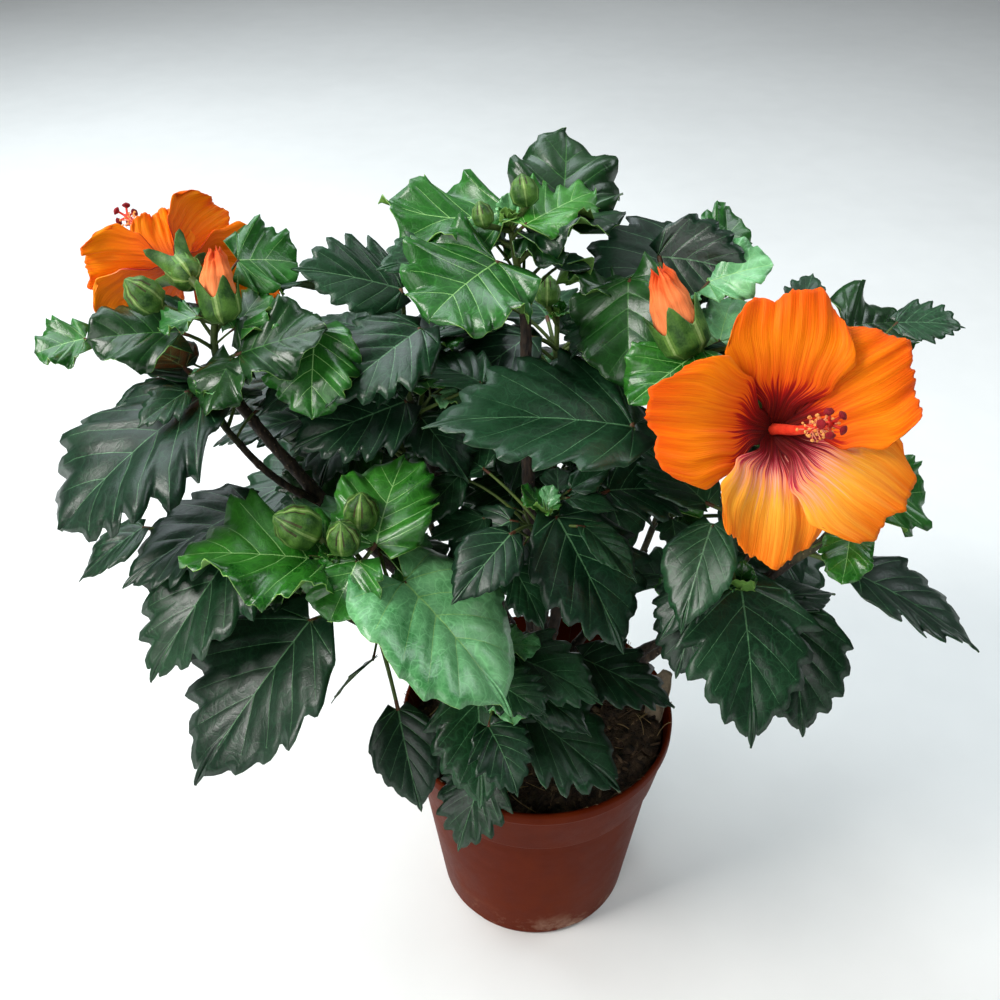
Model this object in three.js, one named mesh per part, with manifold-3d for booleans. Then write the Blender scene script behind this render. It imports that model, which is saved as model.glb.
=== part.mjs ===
import * as THREE from 'three';
import { mergeVertices } from 'three/addons/utils/BufferGeometryUtils.js';
import Module from 'manifold-3d';

// A potted hibiscus shrub in flower: a plastic nursery pot filled with compost, a short woody
// trunk, the boughs that leave it, the leafy masses that the boughs carry, and two open blooms.
// Millimetres and degrees, +Z up. The origin is the middle of the pot's flat underside.

const wasm = await Module();
wasm.setup();

const gap = 0.3; // between two pieces that touch
const leafRoom = 0.6; // between a leaf and anything outside its own mass
const goldenAngle = 137.5;

const pot = {
  height: 118,
  rimRadius: 65,
  collarHeight: 30,
  collarRadius: 60,
  shoulderRadius: 58,
  baseRadius: 48,
  wall: 1.6,
  floor: 3,
  sides: 36,
  notches: 6,
  notchSize: [9, 11, 4.8],
  firstNotch: -70,
};

const soil = { top: 104, edge: 102.5, crest: 105, clearing: 14 };

const trunk = {
  path: [[5, -3, 98], [2, 0, 120], [-1, 3, 142]],
  radii: [7.5, 5.2],
  flare: 5,
};

// Each bough: the limb it leaves, its root, the bend it passes, its tip, and its two radii.
const boughs = {
  bough_leader: ['trunk', [-1, 3, 138], [-6, 4, 225], [-8, 20, 318], 3.6, 2.2],
  bough_left: ['trunk', [-2, 3, 136], [-85, 6, 212], [-128, 13, 290], 3.4, 2.2],
  bough_left_low: ['bough_left', [-95, 7, 236], [-112, -1, 252], [-122, -2, 272], 1.7, 1.4],
  bough_centre_left: ['trunk', [-2, 4, 137], [-28, 10, 200], [-50, 12, 262], 2.8, 1.9],
  bough_upper_right: ['trunk', [1, 4, 136], [14, 0, 215], [28, 3, 285], 3, 2],
  bough_right: ['trunk', [2, 1, 130], [55, -14, 165], [101, -22, 228], 3.2, 2.1],
  bough_lower_right: ['trunk', [2, -1, 124], [34, -18, 148], [58, -26, 190], 2.2, 1.6],
  bough_centre: ['trunk', [0, 0, 134], [-1, -10, 180], [-2, -12, 222], 2.4, 1.7],
  bough_front: ['trunk', [1, -1, 117], [-7, -22, 132], [-14, -36, 158], 1.9, 1.4],
  bough_lower_left: ['trunk', [-1, 0, 122], [-36, -16, 148], [-66, -26, 190], 2.4, 1.7],
  bough_mid_left: ['trunk', [-2, 1, 131], [-34, -22, 172], [-60, -36, 228], 2.6, 1.8],
  bough_back: ['trunk', [0, 3, 134], [4, 36, 155], [7, 56, 190], 2.8, 1.9],
  bough_back_left: ['trunk', [-1, 3, 128], [-30, 30, 148], [-48, 46, 180], 2.5, 1.7],
  bough_back_right: ['trunk', [1, 3, 128], [32, 30, 148], [52, 44, 180], 2.5, 1.7],
};

// The forms of leaf: width to length, how far the base lobes reach back, the bend from base to
// tip, and how full the blade is across at its stations, which are shares of its length.
const stations = [0.07, 0.3, 0.64, 1];
const leafForms = {
  old: { wide: 0.78, lobes: 0.1, bend: 16, across: [0.62, 1, 0.72, 0], at: stations },
  broad: { wide: 0.86, lobes: 0.1, bend: 24, across: [0.62, 0.96, 0.94, 0.3], at: stations },
  smooth: { wide: 0.68, lobes: 0.06, bend: 16, across: [0.6, 1, 0.76, 0], at: stations },
  glossy: { wide: 0.94, lobes: 0.14, bend: 12, across: [0.76, 1, 0.68, 0], at: stations },
  young: { wide: 0.96, lobes: 0.16, bend: 14, across: [0.8, 1, 0.66, 0], at: stations },
  frilled: { wide: 1.25, lobes: 0.16, bend: 12, across: [0.8, 1, 0.74, 0], at: stations },
  heart: { wide: 1.02, lobes: 0.28, bend: 20, across: [0.96, 1, 0.66, 0], at: stations },
  curled: { wide: 0.66, lobes: 0.12, bend: -40, across: [0.7, 1, 0.76, 0], at: stations },
  plain: { wide: 0.82, lobes: 0.06, bend: 16, across: [0.96, 0.8, 0], at: [0.22, 0.6, 1] },
};
const blade = { thickness: 1.2, cup: 0.18 };
const stalkRadius = 0.9;

// Masses: the bough each goes on from, and the rest of its stem. Each leaf that gives the crown
// its outline: its form; the way, reach and rise from the stem's tip to its base; its blade's
// heading, pitch and length; and its roll, where it has one. Each bud: way, reach and rise, then
// heading, pitch, radius and stretch. Last, what the growing rule adds between them.
const masses = {
  foliage_top: {
    bough: 'bough_leader',
    stem: [[-11, 27, 333], [-14, 33, 348]],
    leaves: [
      ['curled', 105, 5, 5, -175, 5, 50, -20],
      ['glossy', 15, 20, 0, 80, 30, 45],
      ['glossy', -20, 10, 0, -5, 15, 35],
      ['young', -55, 10, 5, 35, 15, 35],
      ['frilled', -105, 20, -5, -130, -10, 40, -20],
      ['old', -165, 20, -10, -150, 5, 35, -30],
      ['glossy', -55, 10, 0, -50, -15, 20],
    ],
    buds: [[0, 5, 15, 105, 50, 5.5, 1.2], [-135, 15, 10, 135, 70, 4.2, 1.2]],
    grown: { seed: 11, count: 4, middle: 90, spread: 70, long: 32, low: 30 },
  },
  foliage_left: {
    bough: 'bough_left',
    stem: [[-130, 14, 305], [-128, 16, 322]],
    leaves: [
      ['frilled', 175, 55, -15, -160, -10, 20, -20],
      ['glossy', -145, 15, -5, -170, 15, 35, -20],
      ['glossy', -55, 20, -10, 0, 15, 35, 20],
      ['young', -10, 40, -5, -95, -45, 35],
      ['frilled', 55, 15, 15, 30, -15, 25, 40],
      ['frilled', -35, 10, -5, 40, 15, 20],
      ['frilled', -100, 15, 5, -160, -10, 15],
    ],
    buds: [[-165, 25, 10, -170, 50, 7, 1.2], [-50, 5, 10, 110, 60, 8, 1.6]],
    grown: { seed: 12, count: 4, middle: 80, spread: 60, long: 36, low: 30 },
  },
  foliage_left_low: {
    bough: 'bough_left_low',
    stem: [[-127, -4, 283], [-129, -4, 294]],
    leaves: [
      ['broad', 165, 5, 0, -140, -30, 74],
      ['smooth', 125, 20, -5, -165, 0, 35],
      ['glossy', 30, 10, 15, -115, -40, 25],
    ],
    buds: [],
    grown: { seed: 13, count: 3, middle: 100, spread: 60, long: 36, low: 18 },
  },
  foliage_centre_left: {
    bough: 'bough_centre_left',
    stem: [[-55, 18, 280], [-58, 22, 298]],
    leaves: [
      ['old', 90, 20, 20, -165, 15, 45, -30],
      ['old', -25, 10, 15, -135, -20, 50, -10],
      ['old', -20, 35, -5, 145, 0, 35],
      ['old', -80, 10, -15, -155, -15, 50, -20],
      ['old', -125, 40, -45, 130, 0, 55, -20],
      ['old', -40, 10, -25, -55, -25, 35],
    ],
    buds: [],
    grown: { seed: 14, count: 8, middle: 100, spread: 110, long: 46, low: 30 },
  },
  foliage_upper_right: {
    bough: 'bough_upper_right',
    stem: [[40, 5, 302], [52, 8, 322]],
    leaves: [
      ['old', 75, 40, 10, -155, -10, 60, -20],
      ['old', 110, 25, 15, -20, 0, 40, 60],
      ['frilled', 65, 35, 15, 45, 15, 20, 30],
      ['young', 50, 15, 10, -10, 20, 25, 30],
      ['glossy', 145, 25, 10, -95, -40, 45, 20],
      ['young', -70, 15, -5, -145, -15, 35, -10],
      ['glossy', 150, 30, 5, 150, 10, 20],
      ['old', 145, 30, -5, -130, -10, 30],
      ['young', -30, 15, -5, 75, 15, 25],
      ['old', -125, 35, -30, -175, 5, 80, -10],
    ],
    buds: [[-120, 10, 5, 140, 55, 10, 1.6]],
    grown: { seed: 15, count: 7, middle: 70, spread: 90, long: 44, low: 30 },
  },
  foliage_right: {
    bough: 'bough_right',
    stem: [[113, -25, 245], [117, -18, 268], [112, -6, 290]],
    leaves: [
      ['frilled', -45, 25, -30, 25, -5, 25, 40],
      ['young', -85, 35, -35, -105, -25, 20],
      ['old', -65, 30, -60, -25, -20, 55, -10],
      ['glossy', 75, 40, 15, 35, -10, 38, 40],
      ['old', 50, 45, 20, -10, 0, 27, 20],
      ['old', 100, 45, 20, 60, 30, 20],
      ['old', -165, 50, -35, 130, 10, 40],
    ],
    buds: [],
    grown: { seed: 16, count: 6, middle: 100, spread: 60, long: 40, low: 40 },
  },
  foliage_lower_right: {
    bough: 'bough_lower_right',
    stem: [[70, -32, 206], [78, -36, 222]],
    leaves: [
      ['old', 65, 0, 5, -80, -50, 65],
      ['old', 25, 30, -20, -85, -55, 55],
      ['smooth', 150, 15, 30, -115, -40, 45, 10],
      ['old', 155, 15, 10, -130, -40, 35, 20],
      ['old', 165, 15, -5, -115, -50, 35],
    ],
    buds: [],
    grown: { seed: 17, count: 4, middle: 110, spread: 60, long: 40, low: 28 },
  },
  foliage_centre: {
    bough: 'bough_centre',
    stem: [[-2, -16, 236], [0, -20, 250]],
    leaves: [
      ['old', -20, 5, 0, -55, -40, 60],
      ['old', -155, 15, -20, -50, -40, 30],
      ['smooth', 150, 40, 5, -135, -30, 30],
      ['old', 170, 25, -5, -150, -5, 25],
    ],
    buds: [],
    grown: { seed: 18, count: 8, middle: 90, spread: 170, long: 36, low: 24 },
  },
  foliage_front: {
    bough: 'bough_front',
    stem: [[-20, -42, 176], [-30, -48, 196]],
    leaves: [
      ['heart', -175, 25, 45, -40, -30, 66, -10],
      ['old', 65, 5, -20, -65, -40, 50],
      ['old', 5, 15, -25, -25, -25, 60],
      ['old', 20, 15, 0, -20, -15, 45],
      ['old', -50, 10, -55, -120, -50, 40],
      ['old', 20, 50, -15, -10, -20, 45],
    ],
    buds: [],
    grown: { seed: 19, count: 4, middle: 0, spread: 60, long: 34, low: 30 },
  },
  foliage_lower_left: {
    bough: 'bough_lower_left',
    stem: [[-84, -30, 206], [-102, -28, 222]],
    leaves: [
      ['smooth', -25, 45, -55, -75, -50, 45],
      ['old', -25, 35, -30, -145, -30, 25, 50],
      ['old', -65, 20, -5, -135, -40, 80],
      ['old', -180, 20, 20, -130, -40, 65],
      ['old', 135, 25, 25, -155, -20, 60],
      ['smooth', 165, 65, 15, -155, -30, 35],
      ['old', -20, 0, -5, -165, -5, 30],
    ],
    buds: [],
    grown: { seed: 20, count: 4, middle: 90, spread: 60, long: 38, low: 28 },
  },
  foliage_mid_left: {
    bough: 'bough_mid_left',
    stem: [[-70, -40, 237], [-80, -44, 246]],
    leaves: [
      ['young', 175, 5, 0, -170, 10, 55],
      ['young', 15, 15, 5, 80, 25, 40],
      ['frilled', -35, 10, 5, -115, -35, 25],
    ],
    buds: [
      [170, 15, 15, -165, 40, 8.5, 1.2],
      [55, 15, 15, 25, 85, 7, 1.2],
      [-45, 5, 15, -90, 80, 6.5, 1.2],
    ],
    grown: { seed: 21, count: 4, middle: 120, spread: 70, long: 34, low: 16 },
  },
  foliage_back: {
    bough: 'bough_back',
    stem: [[8, 66, 222], [8, 76, 252], [8, 82, 284]],
    leaves: [],
    buds: [[180, 5, 14, 90, 60, 6, 1.2]],
    grown: { seed: 31, count: 30, middle: 90, spread: 170, long: 54, low: 100 },
  },
  foliage_back_left: {
    bough: 'bough_back_left',
    stem: [[-58, 58, 208], [-68, 68, 236], [-76, 74, 264]],
    leaves: [],
    buds: [],
    grown: { seed: 32, count: 24, middle: 135, spread: 130, long: 52, low: 90 },
  },
  foliage_back_right: {
    bough: 'bough_back_right',
    stem: [[62, 54, 208], [74, 62, 236], [82, 68, 264]],
    leaves: [],
    buds: [[60, 5, 12, 60, 60, 6, 1.2]],
    grown: { seed: 33, count: 24, middle: 45, spread: 130, long: 52, low: 90 },
  },
};

// Blooms: the mass each one stands on, its throat, its column's heading, pitch and length, and
// its petals: turn about the column, length, and lift from square to it.
const blooms = {
  bloom_right: {
    on: 'foliage_right',
    throat: [85, -25, 294],
    heading: -84,
    pitch: 35,
    column: 52,
    petals: [[96, 55, 18], [153, 58, 18], [-141, 58, 18], [-78, 54, 18], [8, 57, 18]],
  },
  bloom_left: {
    on: 'foliage_left',
    throat: [-148, 39, 332],
    heading: 124,
    pitch: 0,
    column: 54,
    petals: [[-28, 50, 6], [8, 44, 40], [78, 30, 60], [-175, 40, 36], [-125, 48, 28]],
  },
};
const petalForm = { wide: 0.88, lobes: 0, bend: 50, across: [0.2, 0.6, 1, 0.66], at: [0, 0.34, 0.76, 1] };
const budAcross = [0.35, 0.95, 1, 0.6, 0.06];

const colours = { pot: 0xa8502f, soil: 0x2b1d14, bark: 0x3a2a1e, leaf: 0x1f5a2c, bloom: 0xf58a1c };

function vector([x, y, z]) {
  return new THREE.Vector3(x, y, z);
}

function radians(degrees) {
  return THREE.MathUtils.degToRad(degrees);
}

function direction(heading, pitch) {
  const level = Math.cos(radians(pitch));
  return new THREE.Vector3(
    Math.cos(radians(heading)) * level,
    Math.sin(radians(heading)) * level,
    Math.sin(radians(pitch)),
  );
}

// The same draws each run, from a whole number.
function seededRandom(seed) {
  let state = seed;
  return () => {
    state = (state + 0x6d2b79f5) | 0;
    let mixed = Math.imul(state ^ (state >>> 15), 1 | state);
    mixed = (mixed + Math.imul(mixed ^ (mixed >>> 7), 61 | mixed)) ^ mixed;
    return ((mixed ^ (mixed >>> 14)) >>> 0) / 4294967296;
  };
}

// A closed geometry as a solid. A ring drawn in to a point leaves flat triangles, which go.
function toSolid(geometry) {
  geometry.deleteAttribute('normal');
  geometry.deleteAttribute('uv');
  const merged = mergeVertices(geometry, 1e-4);
  const corners = merged.index.array;
  const kept = [];
  for (let i = 0; i < corners.length; i += 3) {
    const [a, b, c] = corners.slice(i, i + 3);
    if (a !== b && b !== c && c !== a) {
      kept.push(a, b, c);
    }
  }
  return new wasm.Manifold(new wasm.Mesh({
    numProp: 3,
    vertProperties: new Float32Array(merged.attributes.position.array),
    triVerts: new Uint32Array(kept),
  }));
}

function toGeometry(solid) {
  const mesh = solid.getMesh();
  const geometry = new THREE.BufferGeometry();
  geometry.setAttribute('position', new THREE.BufferAttribute(mesh.vertProperties, 3));
  geometry.setIndex(new THREE.BufferAttribute(mesh.triVerts, 1));
  geometry.computeVertexNormals();
  return geometry;
}

function union(solids) {
  return solids.slice(1).reduce((whole, next) => whole.add(next), solids[0]);
}

// The largest body alone: a sealed hollow or a loose scrap is a body of its own, and goes.
function largest(solid) {
  const bodies = solid.decompose();
  return bodies.reduce((best, body) => (body.volume() > best.volume() ? body : best));
}

// A closed unit cylinder, each vertex of which goes to place(number of its ring, x, z).
function sweep(sides, steps, place) {
  const geometry = new THREE.CylinderGeometry(1, 1, 1, sides, steps);
  const position = geometry.attributes.position;
  for (let i = 0; i < position.count; i += 1) {
    const ring = Math.round((position.getY(i) + 0.5) * steps);
    const point = place(ring, position.getX(i), position.getZ(i));
    position.setXYZ(i, point.x, point.y, point.z);
  }
  return toSolid(geometry);
}

// A limb round a curve, tapering between two radii, with grow added all over.
function limb(curve, radii, sides, steps, { flare = 0, grow = 0 } = {}) {
  const chord = curve.getPoint(1).sub(curve.getPoint(0));
  const isSteep = Math.abs(chord.z) > 0.8 * chord.length();
  const reference = isSteep ? new THREE.Vector3(0, 1, 0) : new THREE.Vector3(0, 0, 1);
  return sweep(sides, steps, (ring, x, z) => {
    const t = ring / steps;
    const along = curve.getTangent(t);
    const right = along.clone().cross(reference).normalize();
    const up = right.clone().cross(along);
    const radius = THREE.MathUtils.lerp(radii[0], radii[1], t) + flare * Math.exp(-9 * t) + grow;
    return curve.getPoint(t)
      .addScaledVector(right, x * radius)
      .addScaledVector(up, z * radius)
      .addScaledVector(along, ring === steps ? grow : 0);
  });
}

// The directions along, across and out of a blade that is rolled about its midrib.
function bladeAxes(heading, pitch, roll) {
  const along = direction(heading, pitch);
  const right = direction(heading - 90, 0).applyAxisAngle(along, radians(roll));
  return { along, right, up: right.clone().cross(along) };
}

// The rings of a blade that bends down evenly from its root: centre, axes and half width.
function bladeRings(root, { heading, pitch, long, roll, form }) {
  const rings = [];
  const middle = root.clone();
  let before = 0;
  const pitchAt = (t) => pitch + form.bend * (0.5 - t);
  for (const [i, t] of form.at.entries()) {
    middle.addScaledVector(direction(heading, pitchAt((before + t) / 2)), (t - before) * long);
    const half = (form.across[i] * form.wide * long) / 2;
    rings.push({ ...bladeAxes(heading, pitchAt(t), roll), middle: middle.clone(), half });
    before = t;
  }
  rings[0].back = form.lobes * long;
  rings.at(-1).isTip = form.across.at(-1) === 0;
  return rings;
}

// A thin diamond section drawn along the rings.
function bladeSolid(rings, grow = 0) {
  return sweep(4, rings.length - 1, (ring, x, z) => {
    const { middle, along, right, up, half, thick = blade.thickness / 2, back = 0, isTip } = rings[ring];
    if (isTip) {
      return middle.clone().addScaledVector(along, grow);
    }
    return middle.clone()
      .addScaledVector(right, x * (half + grow))
      .addScaledVector(up, z * (thick + grow) + Math.abs(x) * Math.max(half - stalkRadius, 0) * blade.cup)
      .addScaledVector(along, -Math.abs(x) * back);
  });
}

// A leaf with its stalk, from a joint on the stem to its root and on to its tip.
function leafSolid(joint, root, shape, grow) {
  const rings = bladeRings(root, shape);
  const rise = root.clone().sub(joint).normalize();
  const onward = bladeAxes(shape.heading, shape.pitch + shape.form.bend / 2, shape.roll);
  const stalkRing = (middle, along) => {
    const turn = new THREE.Quaternion().setFromUnitVectors(onward.along, along);
    const right = onward.right.clone().applyQuaternion(turn);
    const up = onward.up.clone().applyQuaternion(turn);
    return { middle, along, right, up, half: stalkRadius, thick: stalkRadius };
  };
  const elbow = rise.clone().add(onward.along).normalize();
  return bladeSolid([stalkRing(joint, rise), stalkRing(root, elbow), ...rings], grow);
}

function makePot() {
  const { height, rimRadius, collarHeight, collarRadius, shoulderRadius, baseRadius, wall, floor } = pot;
  const step = height - collarHeight;
  const profile = [
    [0, 0], [baseRadius - 2, 0], [baseRadius, 2], [shoulderRadius, step - 1.5], [collarRadius, step],
    [rimRadius, height - 1.5], [rimRadius - 0.6, height], [rimRadius - wall - 0.4, height],
    [rimRadius - wall - 0.8, height - 1.5], [collarRadius - wall, step + 1],
    [shoulderRadius - wall, step - 2], [baseRadius - wall, floor], [0, floor],
  ].map(([radius, z]) => new THREE.Vector2(radius, z));
  let solid = toSolid(new THREE.LatheGeometry(profile, pot.sides).rotateX(Math.PI / 2));
  for (let i = 0; i < pot.notches; i += 1) {
    const turn = radians(pot.firstNotch + (360 / pot.notches) * i);
    const notch = new THREE.BoxGeometry(...pot.notchSize).translate(baseRadius, 0, 0).rotateZ(turn);
    solid = solid.subtract(toSolid(notch));
  }
  return solid;
}

function makeSoil() {
  const { height, rimRadius, collarHeight, collarRadius, shoulderRadius, baseRadius, wall, floor } = pot;
  const step = height - collarHeight;
  const inset = wall + 2 * gap;
  const edgeShare = (soil.edge - step) / collarHeight;
  const edge = THREE.MathUtils.lerp(collarRadius, rimRadius - 0.8, edgeShare) - inset - 0.4;
  const profile = [
    [0, floor + gap], [baseRadius - inset, floor + gap], [shoulderRadius - inset, step - 2],
    [collarRadius - inset - 0.6, step + 1], [edge, soil.edge], [edge - 12, soil.crest],
    [soil.clearing + 12, soil.crest - 1.5], [soil.clearing, soil.top], [0, soil.top],
  ].map(([radius, z]) => new THREE.Vector2(radius, z));
  return toSolid(new THREE.LatheGeometry(profile, pot.sides).rotateX(Math.PI / 2));
}

const limbs = {}; // each limb's curve, tip radius, and its solid grown by the gap
const standing = {}; // each node's solid so far

function addLimb(name, curve, radii, sides, steps, options = {}) {
  limbs[name] = { curve, tip: radii[1], grown: limb(curve, radii, sides, steps, { ...options, grow: gap }) };
  return limb(curve, radii, sides, steps, options);
}

function growTrunk() {
  const curve = new THREE.CatmullRomCurve3(trunk.path.map(vector));
  const whole = addLimb('trunk', curve, trunk.radii, 10, 8, { flare: trunk.flare });
  const below = new THREE.BoxGeometry(80, 80, 40).translate(0, 0, soil.top + gap - 20);
  standing.trunk = whole.subtract(toSolid(below));
}

function growBough(name) {
  const [, from, by, to, thick, thin] = boughs[name];
  const curve = new THREE.QuadraticBezierCurve3(vector(from), vector(by), vector(to));
  const before = Object.values(limbs).map(({ grown }) => grown);
  const whole = addLimb(name, curve, [thick, thin], 6, 5);
  standing[name] = largest(before.reduce((rest, other) => rest.subtract(other), whole));
}

function growStem(name) {
  const { bough, stem } = masses[name];
  const path = [limbs[bough].curve.getPoint(0.995), ...stem.map(vector)];
  const whole = addLimb(name, new THREE.CatmullRomCurve3(path), [limbs[bough].tip, 1.3], 5, stem.length + 2);
  standing[name] = whole.subtract(limbs[bough].grown);
}

function isFree(solid, owner) {
  const others = Object.keys(standing).filter((name) => name !== owner);
  return others.every((name) => solid.intersect(standing[name]).isEmpty());
}

// Where something stands from a stem's tip, and where its stalk leaves the stem below.
function placeOn({ curve }, way, reach, rise) {
  const tip = curve.getPoint(1);
  const root = tip.clone().addScaledVector(direction(way, 0), reach).setZ(tip.z + rise);
  const foot = curve.getPoint(0).z;
  const share = (root.z - 5 - 0.4 * reach - foot) / (tip.z - foot);
  return { root, joint: curve.getPoint(THREE.MathUtils.clamp(share, 0.12, 0.97)) };
}

function budSolid(centre, { along, right, up }, radius, stretch) {
  const steps = budAcross.length - 1;
  return sweep(6, steps, (ring, x, z) => centre.clone()
    .addScaledVector(along, (ring / steps - 0.5) * 2 * radius * stretch)
    .addScaledVector(right, x * radius * budAcross[ring])
    .addScaledVector(up, z * radius * budAcross[ring]));
}

function growBud(owner, [way, reach, rise, heading, pitch, radius, stretch]) {
  const { root, joint } = placeOn(limbs[owner], way, reach, rise);
  const axes = bladeAxes(heading, pitch, 0);
  const foot = root.clone().addScaledVector(axes.along, radius * (0.4 - stretch));
  const stalk = limb(new THREE.LineCurve3(joint, foot), [1.3, 1.3], 4, 1);
  const solid = budSolid(root, axes, radius, stretch).add(stalk);
  if (isFree(solid, owner)) {
    standing[owner] = standing[owner].add(solid);
  }
}

// Small turns and tilts by which a leaf finds room, as it would in growing.
const yielding = [
  [0, 0], [0, 8], [0, -8], [10, 0], [-10, 0], [0, 16],
  [0, -16], [18, 0], [-18, 0], [12, 12], [-12, 12],
];

// Adds a leaf to its mass where it meets nothing else. One that gives the crown its outline may
// cross its own mass where there is no other room; any other leaf is then left out.
function growLeaf(owner, [formName, way, reach, rise, heading, pitch, long, roll = 0], mayCross) {
  const form = leafForms[formName];
  const { root, joint } = placeOn(limbs[owner], way, reach, rise);
  const tries = mayCross ? [...yielding, ...yielding] : yielding;
  for (const [i, [turn, tilt]] of tries.entries()) {
    const shape = { heading: heading + turn, pitch: pitch + tilt, long, roll, form };
    const isRoomNeeded = i < yielding.length;
    const bladeAlone = bladeSolid(bladeRings(root, shape));
    const crosses = isRoomNeeded && !bladeAlone.intersect(standing[owner]).isEmpty();
    if (!crosses && isFree(leafSolid(joint, root, shape, leafRoom), owner)) {
      standing[owner] = standing[owner].add(leafSolid(joint, root, shape, 0));
      return;
    }
  }
}

// The leaves that the growing rule adds, turning about the stem by the golden angle from its
// foot to its tip.
function grownLeaves({ seed, count, middle, spread, long, low }) {
  const random = seededRandom(seed);
  const leaves = [];
  for (let i = 0; i < count; i += 1) {
    const way = middle + spread * (((i * goldenAngle) % 360) / 180 - 1) + 16 * (random() - 0.5);
    const reach = 12 + 20 * random();
    const rise = low * (i / count - 1) + 10 * random() + 6;
    const heading = way + 40 * (random() - 0.5);
    const pitch = -6 - 40 * random() * (1 - (0.6 * i) / count);
    const length = long * (0.75 + 0.45 * random());
    leaves.push(['plain', way, reach, rise, heading, pitch, length, 36 * (random() - 0.5)]);
  }
  return leaves;
}

function makeBloom(name) {
  const { on, throat, heading, pitch, column, petals } = blooms[name];
  const { along, right, up } = bladeAxes(heading, pitch, 0);
  const middle = vector(throat);
  const onAxis = (distance) => middle.clone().addScaledVector(along, distance);
  const turned = new THREE.Matrix4().makeBasis(right, up, along).setPosition(middle);
  const parts = petals.map(([turn, long, lift]) => {
    const shape = { heading: turn, pitch: lift, long, roll: 8, form: petalForm };
    return bladeSolid(bladeRings(new THREE.Vector3(0, 0, -6), shape)).transform(turned.elements);
  });
  parts.push(limb(new THREE.LineCurve3(onAxis(-8), onAxis(column)), [2.2, 1.4], 6, 2));
  parts.push(limb(new THREE.LineCurve3(onAxis(column - 20), onAxis(column - 4)), [3.4, 2.6], 6, 1));
  for (let i = 0; i < 5; i += 1) {
    const out = right.clone().applyAxisAngle(along, radians(72 * i));
    const pad = onAxis(column + 2).addScaledVector(out, 3.6);
    parts.push(limb(new THREE.LineCurve3(onAxis(column - 2), pad), [0.7, 0.9], 3, 1));
    parts.push(toSolid(new THREE.OctahedronGeometry(1.9).translate(pad.x, pad.y, pad.z)));
  }
  parts.push(budSolid(onAxis(-12), { along, right, up }, 7.5, 1.4));
  const stemTip = limbs[on].curve.getPoint(1);
  const stalk = new THREE.CatmullRomCurve3([stemTip, stemTip.clone().lerp(onAxis(-26), 0.6), onAxis(-18)]);
  parts.push(limb(stalk, [1.6, 1.5], 5, 4));
  return largest(union(parts).subtract(limbs[on].grown));
}

growTrunk();
Object.keys(boughs).forEach(growBough);
standing.pot = makePot();
standing.soil = makeSoil();
Object.keys(masses).forEach(growStem);
for (const name of Object.keys(blooms)) {
  standing[name] = makeBloom(name);
}
for (const [name, { buds }] of Object.entries(masses)) {
  buds.forEach((row) => growBud(name, row));
}
for (const [name, { leaves }] of Object.entries(masses)) {
  leaves.forEach((row) => growLeaf(name, row, true));
}
for (const [name, { grown }] of Object.entries(masses)) {
  grownLeaves(grown).forEach((row) => growLeaf(name, row, false));
}

function looks(name) {
  if (name === 'pot') return { color: colours.pot, roughness: 0.45 };
  if (name === 'soil') return { color: colours.soil, roughness: 0.95 };
  if (name in blooms) return { color: colours.bloom, roughness: 0.6 };
  if (name in masses) return { color: colours.leaf, roughness: 0.4 };
  return { color: colours.bark, roughness: 0.8 };
}

const shrub = new THREE.Group();
for (const [name, solid] of Object.entries(standing)) {
  const material = new THREE.MeshStandardMaterial({ ...looks(name), metalness: 0 });
  const mesh = new THREE.Mesh(toGeometry(largest(solid)), material);
  mesh.name = name;
  shrub.add(mesh);
}

export default shrub;
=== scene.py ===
import math

import bmesh
import bpy
from mathutils import Matrix, Vector, noise
from mathutils.bvhtree import BVHTree


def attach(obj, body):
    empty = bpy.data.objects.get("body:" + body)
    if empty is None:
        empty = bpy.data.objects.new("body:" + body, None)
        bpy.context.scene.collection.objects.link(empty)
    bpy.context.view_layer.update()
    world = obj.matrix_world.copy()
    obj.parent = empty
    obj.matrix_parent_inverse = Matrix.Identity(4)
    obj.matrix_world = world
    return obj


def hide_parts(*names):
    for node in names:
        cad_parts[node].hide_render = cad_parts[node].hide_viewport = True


# A potted hibiscus shrub in flower. Sizes are in millimetres and angles in degrees, as in the
# part's source, and each finished piece is in metres.

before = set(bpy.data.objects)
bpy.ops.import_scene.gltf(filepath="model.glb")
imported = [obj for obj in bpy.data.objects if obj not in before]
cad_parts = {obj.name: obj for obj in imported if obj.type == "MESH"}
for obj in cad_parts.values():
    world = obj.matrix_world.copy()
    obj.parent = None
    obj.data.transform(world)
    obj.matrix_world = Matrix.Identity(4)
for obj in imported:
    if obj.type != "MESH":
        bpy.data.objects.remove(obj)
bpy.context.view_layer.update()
mm = 0.001
goldenAngle = 137.5
upward = Vector((0, 0, 1))

camera = bpy.data.objects.new("camera", bpy.data.cameras.new("camera"))
bpy.context.scene.collection.objects.link(camera)
bpy.context.scene.camera = camera
view = dict(place=(-18, -371, 520), down=36.8, lens=40, sensor=36)
camera.location = Vector(view["place"]) * mm
camera.rotation_euler = (math.radians(90 - view["down"]), 0, 0)
camera.data.lens = view["lens"]
camera.data.sensor_width = view["sensor"]
camera.data.clip_start = 0.01


# The limbs, and the masses of foliage that they carry, as the part's source grows them.

pot = dict(
    height=118, rimRadius=65, collarHeight=30, collarRadius=60, shoulderRadius=58, baseRadius=48,
    wall=1.6, floor=3, steps=120, notches=6, notchSize=(9, 11, 4.8), firstNotch=-70,
)
soil = dict(top=104, edge=102.5, crest=105, clearing=14)
trunk = dict(path=[(5, -3, 98), (2, 0, 120), (-1, 3, 142)], radii=(7.5, 5.2), flare=5)

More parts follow.
